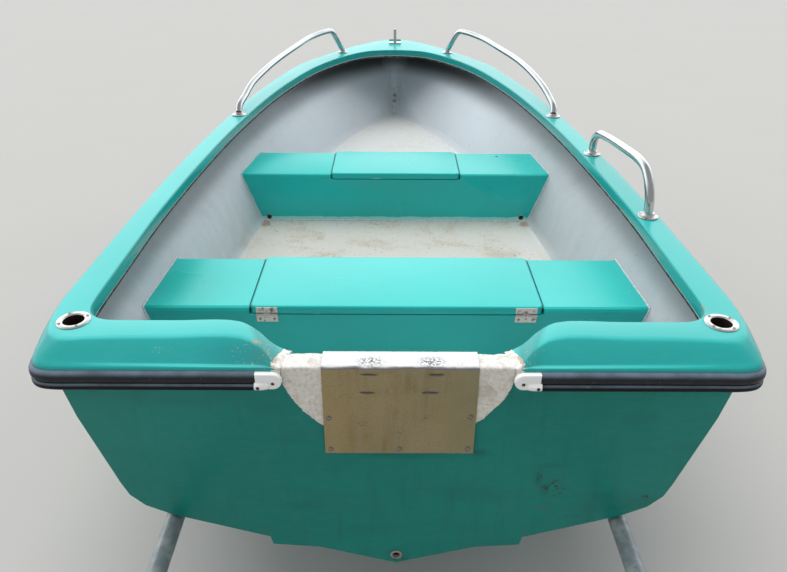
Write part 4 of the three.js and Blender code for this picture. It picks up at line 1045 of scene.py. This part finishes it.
hull_mesh = merged("hull_shell")
chines = round_edges(hull_mesh, is_chine, CHINE_ROUND, 4)
corners = round_edges(hull_mesh, is_transom_edge, CORNER_ROUND, 3)
hull_mesh.normal_update()
for face in hull_mesh.faces:
    face.material_index = int(is_inside(face))
print("hull edges rounded:", chines, corners)
piece("hull_skin", hull_mesh, [hull_gelcoat, inside_grey], stands_for=("hull_shell",), sharp=24,
      recalc=False)

copy_of("cockpit_sole", "cockpit_floor", [floor_coat], bevel=0.001)
copy_of("stem_backing_strip", "stem_strip", [strip_coat], bevel=0.004)

# %% [markdown]
# Where the two sides meet at the stem, mat is pressed into the corner, so it is a soft hollow and not a sharp one.
# Each ring of the hollow curves between two points of the hull's sides, which are found by casting rays.

# %% Hollow inside the stem
STEM_LEVELS, STEM_STEPS, HOLLOW_DEPTH = np.linspace(0.437, 0.752, 26), 12, 0.036


def stem_ring(z):
    """A level curve from one side of the hull to the other, bowed away from the corner between them."""
    apex = hull_tree.ray_cast(Vector((0.0005, 0.0, z)), Vector((0, 1, 0)), 2.0)[0]
    side = hull_tree.ray_cast(Vector((0, apex.y - HOLLOW_DEPTH, z)), Vector((1, 0, 0)), 0.5)[0]
    half, back, ahead = side.x + 0.0005, side.y, apex.y + 0.004
    ring = []
    for i in range(STEM_STEPS + 1):
        t = i / STEM_STEPS
        ring.append(Vector((half * (1 - 2 * t), back + (ahead - back) * 2 * t * (1 - t), z)))
    return ring


hollow = sheet_over([stem_ring(z) for z in STEM_LEVELS], closed=False, capped=False)
if sum(face.normal.y for face in hollow.faces) > 0:
    bmesh.ops.reverse_faces(hollow, faces=hollow.faces[:])
bmesh.ops.solidify(hollow, geom=hollow.faces[:], thickness=0.001)
piece("stem_mat", hollow, [inside_grey], sharp=60)
print("rings in the stem's hollow:", len(STEM_LEVELS))

# %% [markdown]
# The floor is glassed to the hull with wet mat that leaves a hollow round where they meet. That round is a strip
# with a curved section, laid along the floor's outline. Its upper edge is found by casting a ray at the hull.

# %% Cove between floor and hull
SOLE_TOP = 0.435
# The cove's width, the share of it that is left at the boat's centreline, and how far out from there it is full
COVE, COVE_AT_MIDDLE, COVE_FULL_AT = 0.026, 0.45, 0.25
rim = {(round(v.co.x, 5), round(v.co.y, 5)) for v in merged("cockpit_sole").verts if v.co.z > SOLE_TOP - 1e-4}
rim = sorted(rim, key=lambda p: math.atan2(p[1] + 0.3, p[0]))


def even_points(outline, spacing):
    """A closed outline again, as points a steady distance apart, its corners eased."""
    closed = np.array([*outline, outline[0]])
    travelled = np.concatenate([[0], np.cumsum(np.hypot(*np.diff(closed, axis=0).T))])
    places = np.arange(0, travelled[-1], spacing)
    points = np.array([np.interp(places, travelled, closed[:, axis]) for axis in (0, 1)]).T
    for _ in range(2):
        points = (np.roll(points, 1, axis=0) + 2 * points + np.roll(points, -1, axis=0)) / 4
    return [Vector(point) for point in points]


rim = even_points(rim, 0.014)


def cove_ring(i):
    """The cove's section at one point of the outline: from the floor round to the hull, and back behind."""
    here, before, after = rim[i % len(rim)], rim[(i - 1) % len(rim)], rim[(i + 1) % len(rim)]
    along = (after - before).normalized()
    inward = Vector((-along.y, along.x))
    width = COVE * (COVE_AT_MIDDLE + (1 - COVE_AT_MIDDLE) * min(1.0, abs(here.x) / COVE_FULL_AT) ** 2)
    foot = here + inward * width
    start = Vector((here.x + inward.x * width, here.y + inward.y * width, SOLE_TOP + width))
    hit = hull_tree.ray_cast(start, Vector((-inward.x, -inward.y, 0)), 0.3)[0]
    low, corner = Vector((foot.x, foot.y, SOLE_TOP + 0.0003)), Vector((here.x, here.y, SOLE_TOP + 0.0003))
    high = hit or Vector((here.x, here.y, SOLE_TOP + width))
    ring = [low * (1 - t) ** 2 + corner * 2 * t * (1 - t) + high * t * t for t in (0, 0.2, 0.4, 0.6, 0.8, 1)]
    return [*ring, high * 0.5 + corner * 0.5 - Vector((inward.x, inward.y, 0)) * 0.002, corner]


GREY_FROM = 2  # from this point of the section on, the cove has the finish of the sides
cove = sheet_over([cove_ring(i) for i in range(len(rim) + 1)], capped=False, finish_of=lambda c: int(c >= GREY_FROM))
for vertex in cove.verts:
    vertex.co += Vector((0, 0, 1)) * noise.noise(vertex.co * 30) * 0.0006
piece("sole_cove", cove, [floor_coat, inside_grey], sharp=60)
print("floor outline points:", len(rim))

# %% [markdown]
# ## Benches and lids
# Each bench is a box moulding let in across the boat. Wet glass tape was laid where its ends and its foot touch the
# hull and floor, and it shows as a pale uneven bead. The tape's path is found by casting rays at the hull's sides.
# A thin black strip lies in the gap at each end of a lid, as painted shade in the seam.

# %% Benches, lids, tapes and dark strips in the lid seams
# The y of each bench's aft and forward faces, and half its lid's length
BENCHES = {"aft": (-0.981, -0.711, 0.367), "forward": (-0.044, 0.202, 0.236)}
SEAT_Z = 0.620
LID_TOP = SEAT_Z + 0.004
END_TAPE, FOOT_TAPE, SEAM_SHADE_RADIUS = 0.0028, 0.0035, 0.0013  # radii
SEAT_ROUND, LID_ROUND = 0.0045, 0.005


def on_side(side, y, z):
    """Where the hull's inner face is, out from the middle of the boat."""
    hit = hull_tree.ray_cast(Vector((0, y, z)), Vector((side, 0, 0)), 1.0)[0]
    return hit - Vector((side, 0, 0)) * 0.0012


def end_path(side, aft, forward):
    """Up the aft face's end, along the seat's end and down the forward face's end."""
    levels = np.linspace(SOLE_TOP + 0.012, SEAT_Z - 0.002, 12)
    across = np.linspace(aft + 0.002, forward - 0.002, 14)
    rear = [on_side(side, aft - 0.0012, z) for z in levels]
    top = [on_side(side, y, SEAT_Z + 0.0008) for y in across]
    front = [on_side(side, forward + 0.0012, z) for z in reversed(levels)]
    return [*rear, *top, *front]


for name, (aft, forward, lid_half) in BENCHES.items():
    bm = merged(name + "_bench")
    tape = bmesh.new()
    for side in (-1, 1):
        bent_tube(tape, end_path(side, aft, forward), END_TAPE, 8)
    for y in (aft - 0.0015, forward + 0.0015):
        ends = [on_side(side, y, SOLE_TOP + 0.004).x * 0.985 for side in (-1, 1)]
        foot = [Vector((x, y, SOLE_TOP + 0.0015)) for x in np.linspace(*ends, 61)]
        bent_tube(tape, foot, FOOT_TAPE, 8)
    for vertex in tape.verts:
        vertex.co += noise.noise_vector(vertex.co * 25) * 0.0010
    piece(name + "_bench_tape", tape, [strip_coat], sharp=70)

    rounded = round_edges(bm, lambda edge: abs(middle(edge).z - SEAT_Z) < 2e-4 and abs(run(edge).x) > 0.9
                          and min(abs(middle(edge).y - aft), abs(middle(edge).y - forward)) < 2e-4, SEAT_ROUND, 4)
    made = piece(name + "_bench_moulding", bm, [bench_gelcoat], stands_for=(name + "_bench",),
                 recalc=False)
    soften(made, 0.001, 2)
    lid = merged(name + "_bench_lid")
    rounded += round_edges(lid, lambda edge: edge.calc_face_angle(0) > 1 and (
        abs(middle(edge).z - LID_TOP) < 2e-4 or abs(run(edge).z) > 0.9), LID_ROUND, 4)
    made = piece(name + "_lid_moulding", lid, [bench_gelcoat], name + "_lid",
                 stands_for=(name + "_bench_lid",), recalc=False)
    soften(made, 0.0008, 2)
    # Painted shade: a thin black strip in each lid seam.
    seam_shade = bmesh.new()
    for side in (-1, 1):
        x = side * (lid_half + 0.0015)
        places = [aft + 0.004 + (forward - aft - 0.008) * i / 8 for i in range(9)]
        bent_tube(seam_shade, [Vector((x, y, SEAT_Z - 0.004)) for y in places], SEAM_SHADE_RADIUS, 8)
    piece(name + "_lid_seam_shade", seam_shade, [rubber])
    print(name, "bench edges rounded:", rounded)

# %% [markdown]
# ## Transom pad and plate
# The pad is glass mat laid by hand over the transom's cut-out, so nothing on it is straight. The solid's mesh is
# remeshed finely, and noise moves each point a little along its normal.

# %% Transom pad
PAD_VOXEL, WEAVE, LUMPS = 0.0026, 0.0006, 0.0016
pad = copy_of("transom_pad", "pad_laminate", [raw_glass])
voxels = pad.modifiers.new("voxels", "REMESH")
voxels.mode = "VOXEL"
voxels.voxel_size = PAD_VOXEL
voxels.use_smooth_shade = True
bpy.context.view_layer.update()
pad.data = bpy.data.meshes.new_from_object(pad.evaluated_get(bpy.context.evaluated_depsgraph_get()))
pad.modifiers.clear()
bm = bmesh.new()
bm.from_mesh(pad.data)
for _ in range(4):
    bmesh.ops.smooth_vert(bm, verts=bm.verts[:], factor=0.5, use_axis_x=True, use_axis_y=True, use_axis_z=True)
bm.normal_update()
for vertex in bm.verts:
    at = vertex.co
    weave = noise.noise(Vector((at.x * 260, at.y * 120, at.z * 150))) * WEAVE
    lumps = noise.fractal(at * 38, 0.9, 2.0, 4) * LUMPS
    vertex.co += vertex.normal * max(-0.0016, min(weave + lumps, 0.0012))
bm.to_mesh(pad.data)
bm.free()
pad.data.shade_smooth()
print("pad faces:", len(pad.data.polygons))

# %% [markdown]
# The plate is one sheet of metal folded over the pad, and dented in two columns where a motor's clamps have bitten.
# The fold's outline, seen from the side, is drawn across the boat as rows of quads. The points are then moved, and
# the sheet is thickened last, so that both of its faces follow every dent.

# %% Clamp plate, folded over the transom
PLATE_CENTRE, PLATE_HALF, PLATE_THICK, PLATE_TOP, PLATE_BOTTOM = 0.004, 0.150, 0.003, 0.7485, 0.533
PLATE_AFT, PLATE_FRONT = TRANSOM_Y - 0.0082, TRANSOM_Y + 0.044
FOLD_RADIUS, FOLD_WAVE, FOLD_WAVE_REACH = 0.007, 0.0016, 0.009
# Columns: x, z, half width, half height, depth; where clamps have bitten
DENTS = [
    (-0.056, 0.731, 0.030, 0.0028, 0.0013), (-0.060, 0.688, 0.030, 0.0022, 0.0010),
    (0.072, 0.731, 0.026, 0.0030, 0.0014), (0.061, 0.688, 0.024, 0.0030, 0.0017),
    (-0.02, 0.734, 0.02, 0.004, 0.0010), (0.03, 0.742, 0.02, 0.004, 0.0012), (-0.067, 0.611, 0.008, 0.008, 0.0008),
]


def plate_outline():
    """The fold seen from the side, from the bottom edge up and over: y and z."""
    face, fold, over = 100, 10, 14  # steps up the face, round the fold and over the top
    points = [(PLATE_AFT, PLATE_BOTTOM + (PLATE_TOP - FOLD_RADIUS - PLATE_BOTTOM) * i / face) for i in range(face)]
    for i in range(fold + 1):
        angle = math.pi / 2 * i / fold
        points.append((PLATE_AFT + FOLD_RADIUS * (1 - math.cos(angle)),
                       PLATE_TOP - FOLD_RADIUS * (1 - math.sin(angle))))
    top = PLATE_FRONT - PLATE_AFT - FOLD_RADIUS
    points += [(PLATE_AFT + FOLD_RADIUS + top * i / over, PLATE_TOP) for i in range(1, over + 1)]
    return points


def dent_depth(x, z):
    """How deep the face is dented at a place. Each dent sags a little, so none is a neat oval."""
    depth = 0.0
    for cx, cz, wide, high, deep in DENTS:
        sagged = cz + noise.noise(Vector((x * 90, cz * 50, 0))) * 0.0022
        away = math.hypot((x - cx) / wide, (z - sagged) / high)
        depth = max(depth, deep * math.exp(-away * away * 1.6))
    return depth


across = [PLATE_CENTRE + PLATE_HALF * (i / 50 - 1) for i in range(101)]
bm = sheet_over([[Vector((x, y, z)) for x in across] for y, z in plate_outline()], closed=False, capped=False)
for vertex in bm.verts:
    face_share = min(max((PLATE_AFT + 0.004 - vertex.co.y) / 0.004, 0), 1)
    vertex.co.y += dent_depth(vertex.co.x, vertex.co.z) * face_share
    vertex.co.y += (noise.noise(vertex.co * 14) + 0.4) * 0.0005 * face_share
    vertex.co.z -= abs(noise.noise(vertex.co * 60)) * 0.0007 * (1 - face_share)
    by_fold = math.exp(-((vertex.co.y - PLATE_AFT) ** 2 + (vertex.co.z - PLATE_TOP) ** 2) / FOLD_WAVE_REACH ** 2)
    wave = noise.fractal(Vector((vertex.co.x * 28, 3.1, 0)), 0.8, 2.0, 3)
    vertex.co += Vector((0, -1, -1)) * wave * FOLD_WAVE * by_fold
bm.normal_update()
plate = piece("clamp_plate_sheet", bm, [clamp_plate], stands_for=("motor_plate",), sharp=50,
              recalc=False)
thickness = plate.modifiers.new("thickness", "SOLIDIFY")
thickness.thickness = PLATE_THICK
aft_face = max(plate.data.polygons, key=lambda face: -face.center.y)
thickness.offset = -1.0 if aft_face.normal.y < 0 else 1.0
soften(plate, 0.0006, 2, 50)
print("dents in the plate:", len(DENTS))

# %% [markdown]
# ## Tubes, sockets and fittings
# Each rail is one bent tube that stands on two round bases. A base is a turned shape: a flat disc with a rolled edge
# and a collar, so it is spun from a half section. The pole sockets are spun as well, and their bores and a disc at
# the bottom are painted near black, as painted shade.

# %% Rails
TUBE_RADIUS = 0.0125
# Columns: y, height over the gunwale, distance inside its outer edge to port and to starboard
BOW_RAIL = [
    (1550, 10, 44, 40), (1568, 28, 42, 35), (1645, 48, 42, 29), (1740, 70, 41, 29), (1890, 92, 51, 32),
    (2030, 105, 57, 35), (2200, 116, 64, 48), (2380, 125, 66, 58), (2500, 129, 74, 70), (2548, 122, 74, 72),
    (2584, 88, 70, 70), (2622, 46, 63, 63), (2655, 10, 57, 57),
]
GRAB_RAIL = [
    (632, 3, 40), (636, 46, 42), (656, 86, 44), (692, 109, 43), (745, 116, 42), (850, 111, 44), (1000, 97, 45),
    (1065, 86, 46), (1110, 58, 42), (1126, 30, 39), (1127, 3, 38),
]
BASE = [(0.0, 0.0008), (0.026, 0.0008), (0.027, 0.0018), (0.0262, 0.0034), (0.024, 0.0042), (0.018, 0.005),
        (0.0165, 0.0065), (0.016, 0.011), (0.0152, 0.0122), (0.0125, 0.0124), (0.0, 0.0124)]
edge_points = [(row[1], row[0]) for row in gunwale_rows[: len(gunwale_rows) // 2 + 1] if row[1] > 28]


def edge_x(y):
    """How far out the gunwale's edge is at y, in millimetres."""
    return float(np.interp(y, *zip(*edge_points)))


def on_gunwale(side, y, up, inside):
    """A place over the gunwale, in metres, from millimetres over it and inside its outer edge."""
    return Vector((side * (edge_x(y) - inside) * MM, y * MM + TRANSOM_Y, (GUNWALE_Z + rise(y) + up) * MM))


def rail(name, node, side, rows):
    """A bent tube with a round base at each end."""
    bm = bmesh.new()
    for y, _, inside in (rows[0], rows[-1]):
        spun(bm, BASE, on_gunwale(side, y, 0, inside))
    for face in bm.faces:
        face.material_index = 1
    bent_tube(bm, smooth_rows([on_gunwale(side, *row) for row in rows], 8), TUBE_RADIUS, 24)
    return piece(name, bm, [polished, stained_steel], stands_for=(node,), sharp=40)


bow_rows = {side: [(y, up, p if side < 0 else s) for y, up, p, s in BOW_RAIL] for side in (-1, 1)}
rail("bow_rail_tube_port", "bow_rail_port", -1, bow_rows[-1])
rail("bow_rail_tube_starboard", "bow_rail_starboard", 1, bow_rows[1])
rail("grab_rail_tube", "grab_rail_starboard", 1, GRAB_RAIL)
print("gunwale's edge at the grab rail:", round(edge_x(GRAB_RAIL[0][0])), "mm out")

# %% Pole sockets
SOCKET_PROFILE = [
    (0.0204, -0.036), (0.0220, -0.036), (0.0220, 0.0003), (0.0325, 0.0003), (0.0334, 0.0010), (0.0332, 0.0017),
    (0.0318, 0.0026), (0.0232, 0.0030), (0.0216, 0.0025), (0.0206, 0.0008), (0.0204, -0.001), (0.0204, -0.036),
]
for label, centre in zip(("port", "starboard"), socket_places):
    bm = bmesh.new()
    spun(bm, SOCKET_PROFILE, centre, steps=48)
    spun(bm, [(0.0, -0.034), (0.0205, -0.034), (0.0205, -0.0355), (0.0, -0.0355)], centre, steps=48)
    bm.normal_update()
    # Painted shade: the bore's faces and the disc at its bottom take the near-black finish.
    for face in bm.faces:
        away = face.calc_center_median() - Vector(centre)
        face.material_index = int(math.hypot(away.x, away.y) < 0.0206 and away.z < 0.0004)
    piece("pole_socket_ring_" + label, bm, [stained_steel, bore_black],
          stands_for=("pole_socket_" + label,), sharp=50)
    print(label, "socket at", [round(value, 3) for value in centre])

# %% [markdown]
# The hinge leaves, the bollard and the eye are already right in the solid model. The leaves and the bollard only
# need their edges eased, as tumbling or polishing does to real ones, so that each edge catches a thin line of light.
# The eye is only merged.

# %% Smaller fittings from the solid model
LEAF_EDGE = 0.0004
leaves = []
for label in ("port", "starboard"):
    for row, lid_body in (("aft", "aft_lid"), ("forward", "forward_lid")):
        stem = f"{row}_hinge_{label}"
        for leaf, body in (("fixed", HULL), ("lid", lid_body)):
            leaves.append(copy_of(f"{stem}_{leaf}_leaf", f"{stem}_{leaf}_plate", [stained_steel], body,
                                  bevel=LEAF_EDGE, segments=2))
copy_of("bow_bollard", "cross_bollard", [polished], bevel=0.0012)
copy_of("bow_eye", "bow_u_bolt", [polished])
print("hinge leaves:", len(leaves))

# %% [markdown]
# ## Screws
# A screw's head is a cone cut short, with its top face inset and pressed in. Bright ones hold the rails' bases and
# the lids' leaves, and duller ones the sockets and the fixed leaves. The caps' screws are brown with rust, and the
# plate's are dark domes. The screws of each kind of fitting are one piece, because they never part.

# %% Screws and nuts
def screw(bm, centre, axis, radius, height=None):
    """Adds a screw's head that stands on centre and points along axis."""
    height = height or radius * 0.5
    place = Matrix.Translation(Vector(centre) + Vector(axis) * height / 2) @ upright(axis)
    head = bmesh.ops.create_cone(bm, cap_ends=True, segments=16, radius1=radius, radius2=radius * 0.72, depth=height,
                                 matrix=place)
    faces = {face for vertex in head["verts"] for face in vertex.link_faces}
    top = max(faces, key=lambda face: face.calc_center_median().dot(Vector(axis)))
    bmesh.ops.inset_region(bm, faces=[top], thickness=radius * 0.34)
    bmesh.ops.translate(bm, verts=top.verts[:], vec=-Vector(axis) * height * 0.6)


def nut(bm, centre, axis, radius, height, hole):
    """A hexagon nut with a washer under it and a bolt's end in it."""
    washer, hexagon = (24, radius * 1.25, 0, 0.0012), (6, radius, 0.0012, height)
    bolt_end = (12, hole, height, height * 1.5)
    for sides, wide, low, high in (washer, hexagon, bolt_end):
        middle_up = Vector(centre) + Vector(axis) * (low + high) / 2
        bmesh.ops.create_cone(bm, cap_ends=True, segments=sides, radius1=wide, radius2=wide, depth=high - low,
                              matrix=Matrix.Translation(middle_up) @ upright(axis))


AFT, TOP = (0, -1, 0), (0, 0, 1)

# %% Domes on the plate
PLATE_SCREWS = [(-0.1354, 0.625), (-0.1345, 0.544), (0.0038, 0.545), (0.142, 0.546), (0.1435, 0.629)]
domes = bmesh.new()
DOME = [(0.0, 0.0032), (0.002, 0.003), (0.0038, 0.0023), (0.0051, 0.0012), (0.0056, 0.0), (0.0, 0.0)]
for x, z in PLATE_SCREWS:
    spun(domes, DOME, (x, PLATE_AFT - 0.0001, z), AFT, 20)
piece("plate_screws", domes, [dome_steel], sharp=60)
print("screws in the plate:", len(PLATE_SCREWS))

# %% Screws in the sockets and the rails' bases
RING_SCREWS_AT, RING_SCREWS_OUT, RING_SCREWS_UP = (0.6, 2.2, 3.75, 5.3), 0.0275, 0.0026
BASE_SCREWS_AT, BASE_SCREWS_OUT, BASE_SCREWS_UP = (0.5, 2.6, 4.7), 0.0213, 4.4
bright, ring_screws = bmesh.new(), bmesh.new()
for x, y, z in socket_places:
    for turn in RING_SCREWS_AT:
        place = (x + RING_SCREWS_OUT * math.cos(turn), y + RING_SCREWS_OUT * math.sin(turn), z + RING_SCREWS_UP)
        screw(ring_screws, place, TOP, 0.0038, 0.0012)
for side, rows in ((-1, bow_rows[-1]), (1, bow_rows[1]), (1, GRAB_RAIL)):
    for y, _, inside in (rows[0], rows[-1]):
        centre = on_gunwale(side, y, BASE_SCREWS_UP, inside)
        for turn in BASE_SCREWS_AT:
            place = centre + Vector((math.cos(turn), math.sin(turn), 0)) * BASE_SCREWS_OUT
            screw(bright, place, TOP, 0.0032, 0.0012)
piece("bright_screws", bright, [polished])
piece("socket_screws", ring_screws, [dull_steel])
print("screws in each socket and base:", len(RING_SCREWS_AT), len(BASE_SCREWS_AT))

# %% Screws in the caps, and the bow eye's nuts inside the stem
# Columns: x, distance behind the transom, z
CAP_SCREWS = [(0.2367, 0.0192, 0.717), (0.2645, 0.0252, 0.7108)]
rusty = bmesh.new()
for side in (-1, 1):
    for x, out, z in CAP_SCREWS:
        screw(rusty, (side * x, TRANSOM_Y - out, z), AFT, 0.0036, 0.0014)
piece("cap_screws", rusty, [rusty_steel])

# The eye's two legs: the middle between them and the way from one to the other, and the way that they point
EYE_PLACE, EYE_ALONG, EYE_OUT = Vector((0, 2871, 494)), Vector((0, 0.581, 0.814)), Vector((0, 0.814, -0.581))
EYE_HALF, EYE_INSIDE = 16, 34
nuts = bmesh.new()
for end in (-1, 1):
    place = (EYE_PLACE + EYE_ALONG * end * EYE_HALF - EYE_OUT * EYE_INSIDE) * MM + Vector((0, TRANSOM_Y, 0))
    nut(nuts, place, -EYE_OUT, 0.0072, 0.0065, 0.0048)
piece("bow_eye_nuts", nuts, [dull_steel])
print("upper nut at", [round(value, 3) for value in place])

# %% Screws in the hinges
# Columns: which bench, the way its hinged face looks, that face's y, and how far out its hinges are
HINGED_FACES = [("aft", -1, -0.9813, 0.325), ("forward", 1, 0.2023, 0.170)]
HINGE_SCREWS_X, LID_SCREWS_Z, BENCH_SCREWS_Z, HINGE_SCREW = 0.018, 0.6145, 0.5885, 0.0036
for row, sign, face_y, spacing in HINGED_FACES:
    lid_screws, bench_screws = bmesh.new(), bmesh.new()
    for side in (-1, 1):
        for dx in (-HINGE_SCREWS_X, HINGE_SCREWS_X):
            x = side * spacing + dx
            screw(lid_screws, (x, face_y + sign * 0.003, LID_SCREWS_Z), (0, sign, 0), HINGE_SCREW)
            screw(bench_screws, (x, face_y + sign * 0.002, BENCH_SCREWS_Z), (0, sign, 0), HINGE_SCREW)
    piece(row + "_lid_hinge_screws", lid_screws, [polished], row + "_lid")
    piece(row + "_bench_hinge_screws", bench_screws, [dull_steel])
print("hinged faces:", len(HINGED_FACES))

# %% [markdown]
# The drain hole low in the transom is lined with a dull bush and shut by a dark bung that sits a little way in.

# %% Drain bush and bung
DRAIN_Z = 0.219
bush = bmesh.new()
spun(bush, [(0.0085, 0.0002), (0.0135, 0.0002), (0.0135, 0.0012), (0.0125, 0.002), (0.0088, 0.002), (0.0085, 0.0015),
            (0.0085, 0.0002)], (0, TRANSOM_Y, DRAIN_Z), AFT, 32)
piece("drain_bush", bush, [dull_steel], sharp=50)
bung = bmesh.new()
spun(bung, [(0.0, -0.005), (0.0082, -0.006), (0.0105, -0.008), (0.0105, -0.03), (0.0, -0.03)],
     (0, TRANSOM_Y, DRAIN_Z), AFT, 32)
piece("drain_bung", bung, [bore_black], sharp=50)
print("drain", round(DRAIN_Z / MM), "mm over the ground")

# %% [markdown]
# ## The cradle
# Two galvanised pipes carry the boat on three pairs of legs. Tube ends are welded, and a weld is a bead that stands
# a little proud all round, so the foot of each leg gets a ring with a rippled surface.

# %% Cradle and its welds
PIPE_X, LEG_RADIUS, FOOT_TOP = 0.490, 0.017, 0.008
TRESTLES = [0.370, 1.030, 1.690]
for label in ("port", "starboard"):
    copy_of("cradle_pipe_" + label, "cradle_tube_" + label, [zinc])
    for i in (1, 2, 3):
        copy_of(f"cradle_leg_{label}_{i}", f"cradle_post_{label}_{i}", [zinc], bevel=0.001)
for i in (1, 2, 3):
    copy_of(f"cradle_crossbar_{i}", f"cradle_crossbar_tube_{i}", [zinc], bevel=0.001)

welds = bmesh.new()
for side in (-1, 1):
    for y in TRESTLES:
        centre = Vector((side * PIPE_X, y + TRANSOM_Y, FOOT_TOP))
        bead = [(LEG_RADIUS - 0.001, 0.0001), (LEG_RADIUS + 0.006, 0.0001), (LEG_RADIUS + 0.0045, 0.003),
                (LEG_RADIUS + 0.0015, 0.0055), (LEG_RADIUS - 0.001, 0.007), (LEG_RADIUS - 0.001, 0.0001)]
        spun(welds, bead, centre, steps=40)
for vertex in welds.verts:
    vertex.co += Vector((0, 0, 1)) * noise.noise(vertex.co * 400) * 0.0004
piece("foot_welds", welds, [zinc], sharp=60)
print("trestles:", len(TRESTLES))

# %% [markdown]
# ## Floor and light
# The boat stands on a plain pale floor. The light is one big soft sky, as in a photographer's tent: brightest low
# in front of the boat, and dim overhead and behind the camera. So tops and rails shine, while faces that look aft
# stay deep in colour. A veiled sun, nearly overhead, lights the floor of the boat. It isn't mirrored in anything.

# %% Floor
FLOOR_SIZE = 120.0
bm = bmesh.new()
bmesh.ops.create_grid(bm, x_segments=1, y_segments=1, size=FLOOR_SIZE / 2)
mesh = bpy.data.meshes.new("studio_floor")
bm.to_mesh(mesh)
bm.free()
floor = bpy.data.objects.new("studio_floor", mesh)
bpy.context.scene.collection.objects.link(floor)
paper = Finish("pale_floor", (0.5, 0.49, 0.475), 0.85, specular=0.2)
paper.wear(colour=paper.mix(paper.noise(1.5, 3), (0.49, 0.48, 0.465), (0.51, 0.5, 0.485)))
mesh.materials.append(paper.material)
floor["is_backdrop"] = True
print("floor", FLOOR_SIZE, "m across")

# %% Soft sky
SKY_DIM, SKY_BRIGHT = 0.42, 1.9
BAND_TURN, BAND_RISE = math.radians(-14), math.radians(15)
world = bpy.data.worlds.new("soft_sky")
world.use_nodes = True
sky = world.node_tree
background = sky.nodes["Background"]
background.inputs["Color"].default_value = (0.93, 0.97, 1.0, 1.0)
direction = sky.nodes.new("ShaderNodeTexCoord").outputs["Generated"]
band = (math.sin(BAND_TURN) * math.cos(BAND_RISE), math.cos(BAND_TURN) * math.cos(BAND_RISE), math.sin(BAND_RISE))
toward = add_node(sky, "ShaderNodeVectorMath", {0: direction, 1: band}, "Value", operation="DOT_PRODUCT")
in_front = add_node(sky, "ShaderNodeMapRange", {0: toward, 1: -0.5, 2: 0.8}, interpolation_type="SMOOTHSTEP")
height = add_node(sky, "ShaderNodeSeparateXYZ", {0: direction}, "Z")
under_zenith = add_node(sky, "ShaderNodeMapRange", {0: height, 1: 0.9, 2: 0.45}, interpolation_type="SMOOTHSTEP")
lit = add_node(sky, "ShaderNodeMath", {0: in_front, 1: under_zenith}, operation="MULTIPLY")
strength = add_node(sky, "ShaderNodeMapRange", {0: lit, 3: SKY_DIM, 4: SKY_BRIGHT})
sky.links.new(strength, background.inputs["Strength"])
bpy.context.scene.world = world
print("sky's strength from", SKY_DIM, "to", SKY_BRIGHT)

# %% Veiled sun
sun = bpy.data.lights.new("veiled_sun", "SUN")
sun.energy = 1.95
sun.angle = math.radians(60)
sun.color = (1.0, 0.98, 0.95)
holder = bpy.data.objects.new("veiled_sun", sun)
holder.visible_glossy = False
toward_sun = Vector((-0.14, 0.16, 0.97)).normalized()
holder.matrix_world = toward_sun.to_track_quat("Z", "Y").to_matrix().to_4x4()
bpy.context.scene.collection.objects.link(holder)
bpy.context.scene.view_settings.view_transform = "Standard"
print("sun", round(math.degrees(math.asin(toward_sun.z))), "degrees up")

# %% Sizes, and the end
visual_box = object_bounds()
for name, (low, high) in (("solid model", cad_box), ("visual model", visual_box)):
    print(name, [round(b - a, 3) for a, b in zip(low, high)])
